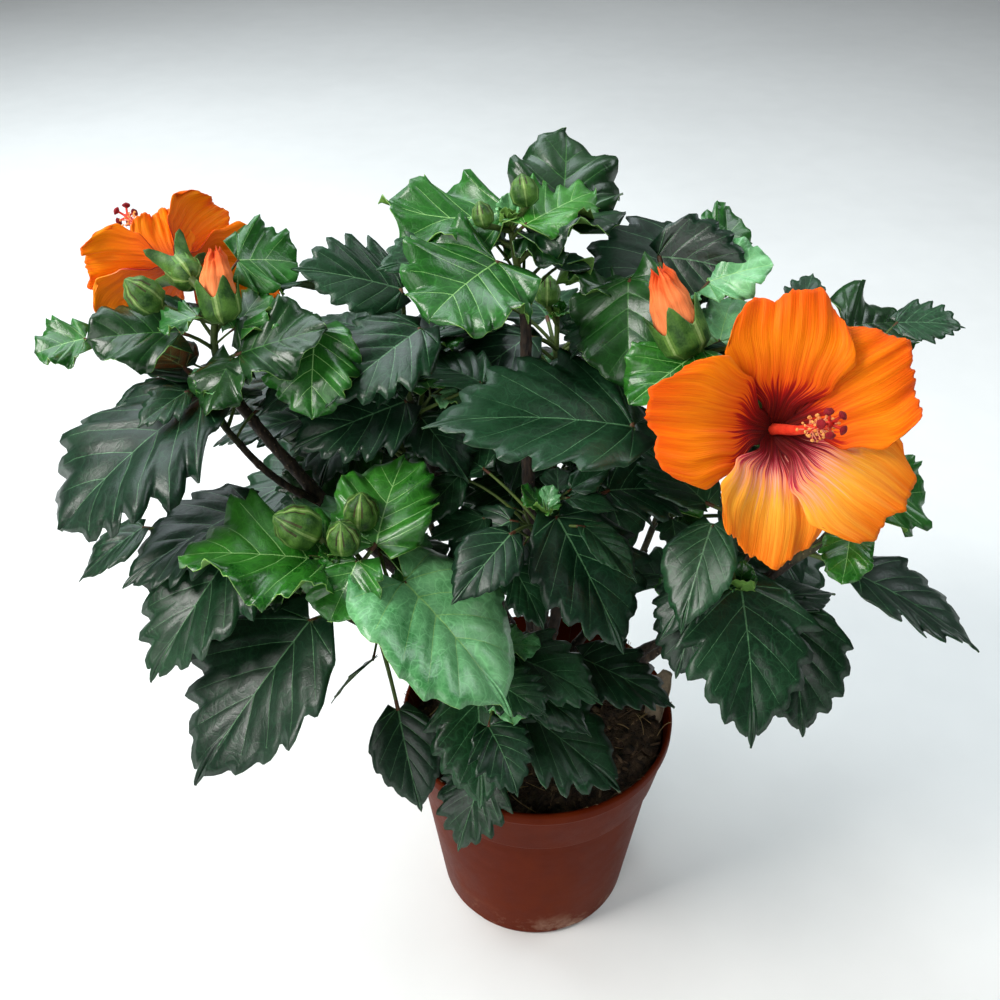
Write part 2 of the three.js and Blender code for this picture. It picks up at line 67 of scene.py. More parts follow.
# Each bough: its root, the bend it passes, its tip, and its two radii.
boughs = {
    "bough_leader": ((-1, 3, 138), (-6, 4, 225), (-8, 20, 318), 3.6, 2.2),
    "bough_left": ((-2, 3, 136), (-85, 6, 212), (-128, 13, 290), 3.4, 2.2),
    "bough_left_low": ((-95, 7, 236), (-112, -1, 252), (-122, -2, 272), 1.7, 1.4),
    "bough_centre_left": ((-2, 4, 137), (-28, 10, 200), (-50, 12, 262), 2.8, 1.9),
    "bough_upper_right": ((1, 4, 136), (14, 0, 215), (28, 3, 285), 3, 2),
    "bough_right": ((2, 1, 130), (55, -14, 165), (101, -22, 228), 3.2, 2.1),
    "bough_lower_right": ((2, -1, 124), (34, -18, 148), (58, -26, 190), 2.2, 1.6),
    "bough_centre": ((0, 0, 134), (-1, -10, 180), (-2, -12, 222), 2.4, 1.7),
    "bough_front": ((1, -1, 117), (-7, -22, 132), (-14, -36, 158), 1.9, 1.4),
    "bough_lower_left": ((-1, 0, 122), (-36, -16, 148), (-66, -26, 190), 2.4, 1.7),
    "bough_mid_left": ((-2, 1, 131), (-34, -22, 172), (-60, -36, 228), 2.6, 1.8),
    "bough_back": ((0, 3, 134), (4, 36, 155), (7, 56, 190), 2.8, 1.9),
    "bough_back_left": ((-1, 3, 128), (-30, 30, 148), (-48, 46, 180), 2.5, 1.7),
    "bough_back_right": ((1, 3, 128), (32, 30, 148), (52, 44, 180), 2.5, 1.7),
}

# Each leaf of a mass: its form, its way, reach and rise from the stem's tip, its heading, pitch,
# length and roll. Each bud: the same places, its radius and how much longer than wide it is. The
# growing rule adds a number of leaves about the middle way.
masses = {
    "foliage_top": dict(
        bough="bough_leader", stem=[(-11, 27, 333), (-14, 33, 348)],
        leaves=[
            ("curled", 105, 5, 5, -175, 5, 50, -20), ("glossy", 15, 20, 0, 80, 30, 45),
            ("glossy", -20, 10, 0, -5, 15, 35), ("young", -55, 10, 5, 35, 15, 35),
            ("frilled", -105, 20, -5, -130, -10, 40, -20), ("old", -165, 20, -10, -150, 5, 35, -30),
            ("glossy", -55, 10, 0, -50, -15, 20),
        ],
        buds=[(0, 5, 15, 105, 50, 5.5, 1.2), (-135, 15, 10, 135, 70, 4.2, 1.2)],
        grown=dict(seed=11, count=4, middle=90, spread=70, long=32, low=30),
    ),
    "foliage_left": dict(
        bough="bough_left", stem=[(-130, 14, 305), (-128, 16, 322)],
        leaves=[
            ("frilled", 175, 55, -15, -160, -10, 20, -20), ("glossy", -145, 15, -5, -170, 15, 35, -20),
            ("glossy", -55, 20, -10, 0, 15, 35, 20), ("young", -10, 40, -5, -95, -45, 35),
            ("frilled", 55, 15, 15, 30, -15, 25, 40), ("frilled", -35, 10, -5, 40, 15, 20),
            ("frilled", -100, 15, 5, -160, -10, 15),
        ],
        buds=[(-165, 25, 10, -170, 50, 7, 1.2), (-50, 5, 10, 110, 60, 8, 1.6)],
        grown=dict(seed=12, count=4, middle=80, spread=60, long=36, low=30),
    ),
    "foliage_left_low": dict(
        bough="bough_left_low", stem=[(-127, -4, 283), (-129, -4, 294)],
        leaves=[
            ("broad", 165, 5, 0, -140, -30, 74), ("smooth", 125, 20, -5, -165, 0, 35),
            ("glossy", 30, 10, 15, -115, -40, 25),
        ],
        buds=[],
        grown=dict(seed=13, count=3, middle=100, spread=60, long=36, low=18),
    ),
    "foliage_centre_left": dict(
        bough="bough_centre_left", stem=[(-55, 18, 280), (-58, 22, 298)],
        leaves=[
            ("old", 90, 20, 20, -165, 15, 45, -30), ("old", -25, 10, 15, -135, -20, 50, -10),
            ("old", -20, 35, -5, 145, 0, 35), ("old", -80, 10, -15, -155, -15, 50, -20),
            ("old", -125, 40, -45, 130, 0, 55, -20), ("old", -40, 10, -25, -55, -25, 35),
        ],
        buds=[],
        grown=dict(seed=14, count=8, middle=100, spread=110, long=46, low=30),
    ),
    "foliage_upper_right": dict(
        bough="bough_upper_right", stem=[(40, 5, 302), (52, 8, 322)],
        leaves=[
            ("old", 75, 40, 10, -155, -10, 60, -20), ("old", 110, 25, 15, -20, 0, 40, 60),
            ("frilled", 65, 35, 15, 45, 15, 20, 30), ("young", 50, 15, 10, -10, 20, 25, 30),
            ("glossy", 145, 25, 10, -95, -40, 45, 20), ("young", -70, 15, -5, -145, -15, 35, -10),
            ("glossy", 150, 30, 5, 150, 10, 20), ("old", 145, 30, -5, -130, -10, 30),
            ("young", -30, 15, -5, 75, 15, 25), ("old", -125, 35, -30, -175, 5, 80, -10),
        ],
        buds=[(-120, 10, 5, 140, 55, 10, 1.6)],
        grown=dict(seed=15, count=7, middle=70, spread=90, long=44, low=30),
    ),
    "foliage_right": dict(
        bough="bough_right", stem=[(113, -25, 245), (117, -18, 268), (112, -6, 290)],
        leaves=[
            ("frilled", -45, 25, -30, 25, -5, 25, 40), ("young", -85, 35, -35, -105, -25, 20),
            ("old", -65, 30, -60, -25, -20, 55, -10), ("glossy", 75, 40, 15, 35, -10, 38, 40),
            ("old", 50, 45, 20, -10, 0, 27, 20), ("old", 100, 45, 20, 60, 30, 20),
            ("old", -165, 50, -35, 130, 10, 40),
        ],
        buds=[],
        grown=dict(seed=16, count=6, middle=100, spread=60, long=40, low=40),
    ),
    "foliage_lower_right": dict(
        bough="bough_lower_right", stem=[(70, -32, 206), (78, -36, 222)],
        leaves=[
            ("old", 65, 0, 5, -80, -50, 65), ("old", 25, 30, -20, -85, -55, 55),
            ("smooth", 150, 15, 30, -115, -40, 45, 10), ("old", 155, 15, 10, -130, -40, 35, 20),
            ("old", 165, 15, -5, -115, -50, 35),
        ],
        buds=[],
        grown=dict(seed=17, count=4, middle=110, spread=60, long=40, low=28),
    ),
    "foliage_centre": dict(
        bough="bough_centre", stem=[(-2, -16, 236), (0, -20, 250)],
        leaves=[
            ("old", -20, 5, 0, -55, -40, 60), ("old", -155, 15, -20, -50, -40, 30),
            ("smooth", 150, 40, 5, -135, -30, 30), ("old", 170, 25, -5, -150, -5, 25),
        ],
        buds=[],
        grown=dict(seed=18, count=8, middle=90, spread=170, long=36, low=24),
    ),
    "foliage_front": dict(
        bough="bough_front", stem=[(-20, -42, 176), (-30, -48, 196)],
        leaves=[
            ("heart", -175, 25, 45, -40, -30, 66, -10), ("old", 65, 5, -20, -65, -40, 50),
            ("old", 5, 15, -25, -25, -25, 60), ("old", 20, 15, 0, -20, -15, 45),
            ("old", -50, 10, -55, -120, -50, 40), ("old", 20, 50, -15, -10, -20, 45),
        ],
        buds=[],
        grown=dict(seed=19, count=4, middle=0, spread=60, long=34, low=30),
    ),
    "foliage_lower_left": dict(
        bough="bough_lower_left", stem=[(-84, -30, 206), (-102, -28, 222)],
        leaves=[
            ("smooth", -25, 45, -55, -75, -50, 45), ("old", -25, 35, -30, -145, -30, 25, 50),
            ("old", -65, 20, -5, -135, -40, 80), ("old", -180, 20, 20, -130, -40, 65),
            ("old", 135, 25, 25, -155, -20, 60), ("smooth", 165, 65, 15, -155, -30, 35),
            ("old", -20, 0, -5, -165, -5, 30),
        ],
        buds=[],
        grown=dict(seed=20, count=4, middle=90, spread=60, long=38, low=28),
    ),
    "foliage_mid_left": dict(
        bough="bough_mid_left", stem=[(-70, -40, 237), (-80, -44, 246)],
        leaves=[
            ("young", 175, 5, 0, -170, 10, 55), ("young", 15, 15, 5, 80, 25, 40),
            ("frilled", -35, 10, 5, -115, -35, 25),
        ],
        buds=[
            (170, 15, 15, -165, 40, 8.5, 1.2), (55, 15, 15, 25, 85, 7, 1.2),
            (-45, 5, 15, -90, 80, 6.5, 1.2),
        ],
        grown=dict(seed=21, count=4, middle=120, spread=70, long=34, low=16),
    ),
    "foliage_back": dict(
        bough="bough_back", stem=[(8, 66, 222), (8, 76, 252), (8, 82, 284)],
        leaves=[],
        buds=[(180, 5, 14, 90, 60, 6, 1.2)],
        grown=dict(seed=31, count=30, middle=90, spread=170, long=54, low=100),
    ),
    "foliage_back_left": dict(
        bough="bough_back_left", stem=[(-58, 58, 208), (-68, 68, 236), (-76, 74, 264)],
        leaves=[],
        buds=[],
        grown=dict(seed=32, count=24, middle=135, spread=130, long=52, low=90),
    ),
    "foliage_back_right": dict(
        bough="bough_back_right", stem=[(62, 54, 208), (74, 62, 236), (82, 68, 264)],
        leaves=[],
        buds=[(60, 5, 12, 60, 60, 6, 1.2)],
        grown=dict(seed=33, count=24, middle=45, spread=130, long=52, low=90),
    ),
}

blooms = {
    "bloom_right": dict(
        on="foliage_right", throat=(85, -25, 294), heading=-84, pitch=35, column=52,
        petals=[(96, 55, 18), (153, 58, 18), (-141, 58, 18), (-78, 54, 18), (8, 57, 18)],
    ),
    "bloom_left": dict(
        on="foliage_left", throat=(-148, 39, 332), heading=124, pitch=0, column=54,
        petals=[(-28, 50, 6), (8, 44, 40), (78, 30, 60), (-175, 40, 36), (-125, 48, 28)],
    ),
}

petalForm = dict(wide=0.88, bend=50, roll=8, foot=-6)


# The rules of growth, as in the part's source.

def direction(heading, pitch):
    level = math.cos(math.radians(pitch))
    turn = math.radians(heading)
    return Vector((math.cos(turn) * level, math.sin(turn) * level, math.sin(math.radians(pitch))))


def bladeAxes(heading, pitch, roll):
    along = direction(heading, pitch)
    right = Matrix.Rotation(math.radians(roll), 3, along) @ direction(heading - 90, 0)
    return along, right, right.cross(along)


def seededRandom(seed):
    state = seed
    whole = 0xFFFFFFFF

    def draw():
        nonlocal state
        state = (state + 0x6D2B79F5) & whole
        mixed = ((state ^ (state >> 15)) * (1 | state)) & whole
        mixed = ((mixed + (((mixed ^ (mixed >> 7)) * (61 | mixed)) & whole)) & whole) ^ mixed
        return (mixed ^ (mixed >> 14)) / 4294967296

    return draw


def lerp(a, b, t):
    return a + (b - a) * t


def clamp(value, low, high):
    return max(low, min(high, value))


def between(t, stops, values):  # smoothly, from value to value
    for (t0, v0), (t1, v1) in zip(zip(stops, values), zip(stops[1:], values[1:])):
        if t <= t1:
            share = clamp((t - t0) / (t1 - t0), 0, 1)
            return lerp(v0, v1, share * share * (3 - 2 * share))
    return values[-1]


def bendThrough(a, b, c):
    return lambda t: a * (1 - t) ** 2 + b * (2 * t * (1 - t)) + c * t ** 2


def lineThrough(points):  # a centripetal spline
    points = [Vector(point) for point in points]
    path = [points[0] * 2 - points[1], *points, points[-1] * 2 - points[-2]]

    def at(t):
        position = (len(points) - 1) * clamp(t, 0, 1)
        i = min(int(position), len(points) - 2)
        share = position - i
        p0, p1, p2, p3 = path[i:i + 4]
        d0, d1, d2 = ((b - a).length ** 0.5 for a, b in ((p0, p1), (p1, p2), (p2, p3)))
        leave = ((p1 - p0) / d0 - (p2 - p0) / (d0 + d1) + (p2 - p1) / d1) * d1
        arrive = ((p2 - p1) / d1 - (p3 - p1) / (d1 + d2) + (p3 - p2) / d2) * d1
        c2 = (p2 - p1) * 3 - leave * 2 - arrive
        c3 = (p1 - p2) * 2 + leave + arrive
        return p1 + leave * share + c2 * share ** 2 + c3 * share ** 3

    return at


def lengthOf(curve):
    return sum((curve((i + 1) / 12) - curve(i / 12)).length for i in range(12))


# Where something stands from a stem's tip, and where its stalk leaves the stem below.
def placeOn(curve, way, reach, rise):
    foot, tip = curve(0), curve(1)
    root = tip + direction(way, 0) * reach
    root.z = tip.z + rise
    share = (root.z - 5 - 0.4 * reach - foot.z) / (tip.z - foot.z)
    return root, curve(clamp(share, 0.12, 0.97))


# Leaves turning about the stem by the golden angle, from its foot to its tip.
def grownLeaves(seed, count, middle, spread, long, low):
    draw = seededRandom(seed)
    for i in range(count):
        way = middle + spread * (((i * goldenAngle) % 360) / 180 - 1) + 16 * (draw() - 0.5)
        reach = 12 + 20 * draw()
        rise = low * (i / count - 1) + 10 * draw() + 6
        heading = way + 40 * (draw() - 0.5)
        pitch = -6 - 40 * draw() * (1 - (0.6 * i) / count)
        length = long * (0.75 + 0.45 * draw())
        yield way, reach, rise, heading, pitch, length, 36 * (draw() - 0.5)


# Making parts from bmesh operators, and heaping each kind into one piece.

heaps = {}
weld = 1e-7  # metres


def ruled(rule, *place):  # a rule's value at a place, or a value that holds everywhere
    return rule(*place) if callable(rule) else rule


def around(right, up, turn):
    return right * math.cos(turn) + up * math.sin(turn)


def squareTo(along, way):
    return (way - along * way.dot(along)).normalized()


def newPart():
    part = bmesh.new()
    part.loops.layers.uv.new("surface")
    return part


def smoothen(faces, slot=0):
    for face in faces:
        face.smooth = True
        face.material_index = slot


def sheetOf(columns, rows, place, slot=0):
    part = newPart()
    bmesh.ops.create_grid(part, x_segments=columns, y_segments=rows, size=0.5, calc_uvs=True)
    for face in part.faces:
        middle = face.calc_center_median()
        face.smooth = True
        face.material_index = ruled(slot, int((middle.x + 0.5) * columns), int((middle.y + 0.5) * rows))
    for vert in part.verts:
        vert.co = place(round((vert.co.x + 0.5) * columns), round((vert.co.y + 0.5) * rows)) * mm
    return part


# Gives a sheet its thickness below it, with an underside and an edge in slots of their own.
def thicken(part, thickness, under=None, edge=None):
    bmesh.ops.remove_doubles(part, verts=part.verts, dist=weld)
    part.normal_update()
    copied = bmesh.ops.duplicate(part, geom=part.faces[:])["geom"]
    back = [item for item in copied if isinstance(item, bmesh.types.BMFace)]
    for vert in {vert for face in back for vert in face.verts}:
        vert.co -= vert.normal * thickness * mm
    bmesh.ops.reverse_faces(part, faces=back)
    rims = [line for line in part.edges if line.is_boundary]
    sides = bmesh.ops.bridge_loops(part, edges=rims)["faces"]
    smoothen(sides, back[0].material_index if edge is None else edge)
    if under is not None:
        smoothen(back, under)
    return part


# A closed tube along a curve; relief(turn, t) scales its radius.
def tubeOf(curve, radius, sides, steps, relief=1, slot=0, end=1):
    rings = []
    right = None
    for i in range(steps + 1):
        t = end * (i / steps)
        along = (curve(min(t + 0.01, 1)) - curve(max(t - 0.01, 0))).normalized()
        right = squareTo(along, right or along.orthogonal())
        rings.append((curve(t), right, along.cross(right), ruled(radius, t), t))

    def place(column, row):
        middle, right, up, wide, t = rings[clamp(row - 1, 0, steps)]
        if row in (0, steps + 2):
            return middle
        turn = 2 * math.pi * column / sides
        return middle + around(right, up, turn) * (wide * ruled(relief, turn, t))

    part = sheetOf(sides, steps + 2, place, slot)
    bmesh.ops.remove_doubles(part, verts=part.verts, dist=weld)
    return part


def treeOf(part):  # frees the part
    tree = BVHTree.FromBMesh(part)
    part.free()
    return tree


def heap(name, part):
    mesh = bpy.data.meshes.new("part")
    part.to_mesh(mesh)
    part.free()
    if name not in heaps:
        heaps[name] = bmesh.new()
    heaps[name].from_mesh(mesh)
    bpy.data.meshes.remove(mesh)


def finishPiece(name, finishes, nodes):
    mesh = bpy.data.meshes.new(name)
    heaps.pop(name).to_mesh(mesh)
    for finish in finishes:
        mesh.materials.append(bpy.data.materials[finish])
    piece = bpy.data.objects.new(name, mesh)
    bpy.context.scene.collection.objects.link(piece)
    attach(piece, "root")
    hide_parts(*nodes)
    triangles = sum(len(polygon.vertices) - 2 for polygon in mesh.polygons)
    print(f"{name}: {triangles} triangles")
    return piece


# Trunk and boughs: one skin with ridged bark, swollen nodes and leaf scars.

bark = dict(
    ridges=9, ridgeDepth=0.07, grain=0.16, nodeEvery=13, nodeSwell=0.16, nodeLength=0.9,
    collar=0.45, collarLength=5, stemTip=1.15,
)
limbs = {}
limbTrees = []


def barkRelief(length, seed):
    def relief(turn, t):
        here = Vector((math.cos(turn) * 1.6, math.sin(turn) * 1.6, t * length * 0.16 + seed * 7))
        furrow = abs(math.sin(turn * bark["ridges"] / 2 + 2.5 * noise.noise(here * 0.6)))
        nearest = abs((t * length + seed * 3) % bark["nodeEvery"] - bark["nodeEvery"] / 2)
        scar = math.exp(-((nearest / bark["nodeLength"]) ** 2))
        ridge = bark["ridgeDepth"] * (furrow - 0.6)
        return 1 + ridge + bark["grain"] * noise.noise(here) + bark["nodeSwell"] * scar

    return relief


def remember(curve, radius, end=1):
    limbTrees.append(treeOf(tubeOf(curve, radius, 5, 10, end=end)))


def growTrunk():
    curve = lineThrough(trunk["path"])

    def radiusAt(t):
        return lerp(*trunk["radii"], t) + trunk["flare"] * math.exp(-9 * t)

    part = tubeOf(curve, radiusAt, 40, 60, barkRelief(lengthOf(curve), 1))
    cut = bmesh.ops.bisect_plane(
        part, geom=part.verts[:] + part.edges[:] + part.faces[:], dist=weld,
        plane_co=Vector((0, 0, soil["top"] - 0.5)) * mm, plane_no=(0, 0, -1), clear_outer=True,
    )["geom_cut"]
    bmesh.ops.contextual_create(part, geom=[edge for edge in cut if isinstance(edge, bmesh.types.BMEdge)])
    heap("wood", part)
    remember(curve, trunk["radii"][0])


def growBough(name, seed):
    *bends, thick, thin = boughs[name]
    curve = bendThrough(*map(Vector, bends))
    limbs[name] = curve
    long = lengthOf(curve)

    def radiusAt(t):
        return lerp(thick, thin, t) + bark["collar"] * thick * math.exp(-t * long / bark["collarLength"])

    heap("wood", tubeOf(curve, radiusAt, 16, int(long / 1.6), barkRelief(long, seed)))
    remember(curve, thick)


# The stem of each mass goes on from its bough, greener and smoother.
def growStem(name, seed):
    mass = masses[name]
    bough, thin = limbs[mass["bough"]], boughs[mass["bough"]][-1]
    curve = lineThrough([bough(0.97), *mass["stem"]])
    limbs[name] = lineThrough([bough(0.995), *mass["stem"]])
    long = lengthOf(curve)
    swell = barkRelief(long, seed)
    heap("twigs", tubeOf(
        curve, lambda t: lerp(thin, bark["stemTip"], t ** 0.7), 12, int(long / 1.5),
        lambda turn, t: 0.5 + 0.5 * swell(turn, t), lambda column, row: 0 if row < long / 3 else 1,
    ))
    remember(curve, thin, 0.9)


growTrunk()
for seed, name in enumerate(boughs):
    growBough(name, seed + 2)
for seed, name in enumerate(masses):
    growStem(name, seed + 20)
print("limbs are grown")


# Leaves: each row of a blade's grid runs out along a side vein to a tooth of the margin.

# The forms are the source's: width to length, reach of the base lobes, bend from base to tip. Then
# how full the base is, the widest place, how round the end is, the narrow tail of the tip, the depth
# of the teeth, the puffing between the veins, the unevenness of the blade, the wave of the margin,
# its fine frill, the droop of its edge, the twist from base to tip, and the rows between two veins,
# which make the margin's teeth keen or soft.
formTraits = (
    "wide", "lobes", "bend", "base", "widest", "ends", "tail", "teeth",
    "puff", "bulge", "wave", "frill", "droop", "twist", "between",
)
leafForms = {
    "old": (0.8, 0.1, 16, 0.26, 0.42, (1.9, 0.9), 0.06, 0.16, 0.01, 0.035, 0.02, 0.004, 0.1, 12, "keen"),
    "broad": (0.88, 0.1, 24, 0.3, 0.5, (2.6, 0.66), 0.02, 0.12, 0.01, 0.04, 0.04, 0.004, 0.14, 8, "keen"),
    "smooth": (0.7, 0.06, 16, 0.26, 0.42, (1.8, 1.0), 0.05, 0.05, 0.008, 0.03, 0.02, 0, 0.12, 8, "keen"),
    "heart": (1.02, 0.28, 20, 0.34, 0.4, (2.5, 0.56), 0.1, 0.05, 0.022, 0.03, 0.03, 0.01, 0.16, 4, "keen"),
    "glossy": (0.96, 0.14, 12, 0.42, 0.42, (2.3, 0.64), 0.02, 0.05, 0.014, 0.05, 0.15, 0.022, 0.2, 18, "soft"),
    "young": (0.98, 0.16, 14, 0.42, 0.42, (2.3, 0.6), 0.02, 0.07, 0.014, 0.05, 0.13, 0.042, 0.1, 18, "soft"),
    "frilled": (1.2, 0.16, 12, 0.5, 0.45, (2.6, 0.58), 0.01, 0.08, 0.014, 0.05, 0.15, 0.058, 0.06, 20, "soft"),
    "curled": (0.72, 0.12, -40, 0.36, 0.45, (2.1, 0.8), 0.04, 0.08, 0.012, 0.05, 0.14, 0.02, 0.1, 20, "keen"),
}
leafForms = {kind: dict(zip(formTraits, traits)) for kind, traits in leafForms.items()}
leaf = dict(
    thickness=0.4, cup=0.2, rib=0.42, vein=0.22, waves=(1.5, 2.6), frills=8, tipDroop=0.14, tailWidth=0.08,
    lean=0.09, bites=(0.3, 1.5), forward=0.12, stalk=0.85, stalkArch=0.16, small=26, room=0.65,
    veins=[(0, 0.15), (0, 0.37), (0.13, 0.55), (0.28, 0.69), (0.45, 0.81), (0.64, 0.915)],
    fewVeins=[(0, 0.24), (0, 0.48), (0.2, 0.68), (0.45, 0.86)],
    keen=((0.08, 0.66, 0.4), (0.18, -0.5, 0.7), (0.3, -0.8, 0.9), (0.5, -0.05, 1), (0.75, 0.72, 0.6)),
    soft=((0.1, 0.94, 0.4), (0.24, 0.7, 0.8), (0.42, -0.5, 1), (0.52, -0.95, 1), (0.76, 0.72, 0.6)),
    across=(0, 0.22, 0.44, 0.66, 0.85, 1), fewAcross=(0, 0.42, 0.8, 1),
)
# Slots of a leaf piece: three tints of the blade, its veins, its underside, its pale edge.
veinSlot, underSlot, edgeSlot = 3, 4, 5


def marginAt(form, q):  # along the midrib and across, as shares
    body = 1 - form["tail"]
    rise, end = form["ends"]
    share = q / body
    if share < form["widest"]:
        across = lerp(form["base"], 1, math.sin(math.pi / 2 * share / form["widest"]) ** 0.85)
    elif share < 1:
        across = (1 - ((share - form["widest"]) / (1 - form["widest"])) ** rise) ** end
        across = max(across, leaf["tailWidth"])
    else:
        across = leaf["tailWidth"] * (1 - q) / form["tail"]
    return lerp(-form["lobes"], 1, q), across


def midribAt(root, heading, pitch, bend, long, s):  # bends down evenly from the root
    start, turn, way = math.radians(pitch + bend / 2), math.radians(bend), math.radians(heading)
    level = (math.sin(start) - math.sin(start - turn * s)) / turn
    rise = (math.cos(start - turn * s) - math.cos(start)) / turn
    return root + Vector((math.cos(way) * level, math.sin(way) * level, rise)) * long


# Each row: start on the midrib, end on the margin, side of a vein, tooth, puff, which tooth.
def veinRows(veins, between):
    rows = [(0, 0, 0, 0, 0, 0)]
    for i, ((m, q), (nextM, nextQ)) in enumerate(zip(veins, veins[1:] + [(1, 1)])):
        rows += [(m, q, -1, 1, 0, i), (m, q, 1, 1, 0, i)]
        for share, tooth, puff in between:
            rows.append((lerp(m, nextM, share), lerp(q, nextQ, share), 0, tooth, puff, i + share))
    return rows + [(1, 1, 0, 0, 0, len(veins))]


def bladeOf(root, heading, pitch, long, roll, form, tint, draw, isSmall=False):
    veins = leaf["fewVeins"] if isSmall else leaf["veins"]
    rows = veinRows(veins, leaf[form["between"]])
    shares = leaf["fewAcross"] if isSmall else leaf["across"]
    half = form["wide"] * long / 2
    bend = form["bend"] + 8 * (draw() - 0.5)
    twist = form["twist"] * (draw() - 0.5) * 2
    lean = leaf["lean"] * (draw() - 0.5) * 2
    droop = form["droop"] * (0.6 + 0.8 * draw())
    waves = lerp(*leaf["waves"], draw())
    phases = [2 * math.pi * draw() for _ in range(4)]
    bites = [[lerp(*leaf["bites"], draw()) for _ in range(len(veins) + 1)] for _ in range(2)]
    fullness = [1 + 0.1 * (draw() - 0.5), 1 + 0.1 * (draw() - 0.5)]
    sides = len(shares)
    slim = min(long / 50, 1)

    def place(column, row):
        m, q, side, tooth, puff, which = rows[row]
        hand = 0 if column < sides else 1
        share = shares[sides - 1 - column] if hand == 0 else shares[column - sides]
        e, x = marginAt(form, q)
        i = min(int(which), len(veins) - 1)
        bite = lerp(bites[hand][i], bites[hand][i + 1], which - i) * form["teeth"] * tooth
        bite *= between(q, (0.1, 0.42, 0.9, 1), (0.15, 1, 1, 0.3))
        e += leaf["forward"] * bite
        x *= (1 + bite) * fullness[hand]
        rib = leaf["rib"] * (1 - 0.8 * m) * slim
        across = lerp(rib, max(x * half, rib * 0.5), share)
        s = m + (e - m) * share ** 1.12 + side * leaf["vein"] * (1 - 0.65 * share) / long * slim
        signed = across if hand else -across
        z = across * leaf["cup"] - droop * across * share ** 2.5
        z += puff * form["puff"] * long * math.sin(math.pi * min(share * 0.9 + 0.08, 1))
        here = Vector((signed / half * 1.3, s * 2.6, phases[0] * 5))
        z += form["bulge"] * long * share ** 0.7 * (noise.noise(here) + 0.4 * noise.noise(here * 2.7))
        wave = form["wave"] * long * between(q, (0.75, 1), (1, 0.3))
        z += wave * share ** 2.2 * math.sin(2 * math.pi * waves * q + phases[hand])
        frill = math.sin(2 * math.pi * leaf["frills"] * q + phases[2 + hand])
        z += form["frill"] * long * share ** 4 * frill
        z -= leaf["tipDroop"] * long * max(0, s - 0.72) ** 1.5
        _, right, up = bladeAxes(heading, pitch + bend * (0.5 - s), roll + twist * (s - 0.2))
        onRib = midribAt(root, heading, pitch, bend, long, s)
        return onRib + right * (signed + lean * long * max(s, 0) ** 2) + up * z

    def slot(column, row):
        isVein = rows[row][2] == -1 and 0 < column < 2 * sides - 2
        return veinSlot if isVein or column == sides - 1 else tint

    part = sheetOf(2 * sides - 1, len(rows) - 1, place, slot)
    return thicken(part, leaf["thickness"] * min(long / 45, 1), underSlot, edgeSlot)


def stalkOf(joint, root, onward, radius):
    reach = (root - joint).length
    by = lerp(joint, root, 0.55) + (upward * 0.5 - onward * 0.6) * leaf["stalkArch"] * reach
    curve = bendThrough(joint, by, root + onward * 0.5)
    steps = max(4, int(reach / 3.5))

    def radiusAt(t):
        return radius * (1.15 - 0.25 * t + 0.35 * math.exp(-(((t - 0.96) * reach / 1.6) ** 2)))

    return tubeOf(curve, radiusAt, 6, steps, slot=lambda column, row: 2 if row > steps - 1 else 1)


# A blade's coarse stand-in, to try whether it has room.
def proxyOf(root, heading, pitch, long, roll, form):
    corners = []
    for s, share in ((0, 0.5), (0.3, 1), (0.64, 0.7), (1, 0.02)):
        middle = midribAt(root, heading, pitch, form["bend"], long, s)
        _, right, up = bladeAxes(heading, pitch + form["bend"] * (0.5 - s), roll)
        half = form["wide"] * long / 2 * share
        left, raised = middle - right * half, up * half * 0.15
        corners += [left + raised, middle, middle + right * half + raised]
    quads = [(i, i + 1, i + 4, i + 3) for i in (0, 1, 3, 4, 6, 7)]
    return BVHTree.FromPolygons([corner * mm for corner in corners], quads)


# Small turns and tilts by which a leaf finds room, as it would in growing.
yielding = [
    (0, 0), (0, 8), (0, -8), (10, 0), (-10, 0), (0, 16), (0, -16), (18, 0), (-18, 0), (12, 12), (-12, 12),
]
grownBlades = []  # the owner, middle, reach and stand-in of each
bloomTrees = []


def isRoomFor(proxy, middle, reach, owner, mayCrossOwn):
    for other, where, size, tree in grownBlades:
        isNear = (where - middle).length < reach + size
        if isNear and not (other == owner and mayCrossOwn) and proxy.overlap(tree):
            return False
    return not any(proxy.overlap(tree) for tree in limbTrees)


def leafPieceOf(kind, owner):
    if kind in ("old", "broad", "smooth"):
        return "leaves_old_back" if "back" in owner else "leaves_old"
    if kind in ("glossy", "frilled"):
        return "leaves_" + kind
    return "leaves_frilled" if kind == "curled" else "leaves_young"


# Adds a leaf where it meets nothing else; one that gives the crown its outline may cross its own
# mass where there is no other room.
def growLeaf(owner, kind, root, joint, heading, pitch, long, roll, draw, mayCross=False):
    form = leafForms[kind]
    # The heart leaf takes tint 1, whose young finish carries a painted sheen.
    tint = 1 if kind == "heart" else int(draw() * 3)
    tries = [*yielding, *yielding] if mayCross else yielding
    for i, (turn, tilt) in enumerate(tries):
        way, rise = heading + turn, pitch + tilt
        along = bladeAxes(way, rise, roll)[0]
        middle = root + along * long / 2
        proxy = proxyOf(root + along * 1.5, way, rise, long, roll, form)
        if not isRoomFor(proxy, middle, long * leaf["room"], owner, i >= len(yielding)):
            continue
        blade = bladeOf(root, way, rise, long, roll, form, tint, draw, long < leaf["small"])
        grown = BVHTree.FromBMesh(blade)
        if not any(grown.overlap(tree) for tree in bloomTrees):
            break
        blade.free()
    else:
        return False
    grownBlades.append((owner, middle, long * leaf["room"], proxy))
    heap(leafPieceOf(kind, owner), blade)
    onward = bladeAxes(way, rise + form["bend"] / 2, roll)[0]
    heap("twigs", stalkOf(joint, root, onward, leaf["stalk"] * clamp(long / 40, 0.5, 1.15)))
    return True
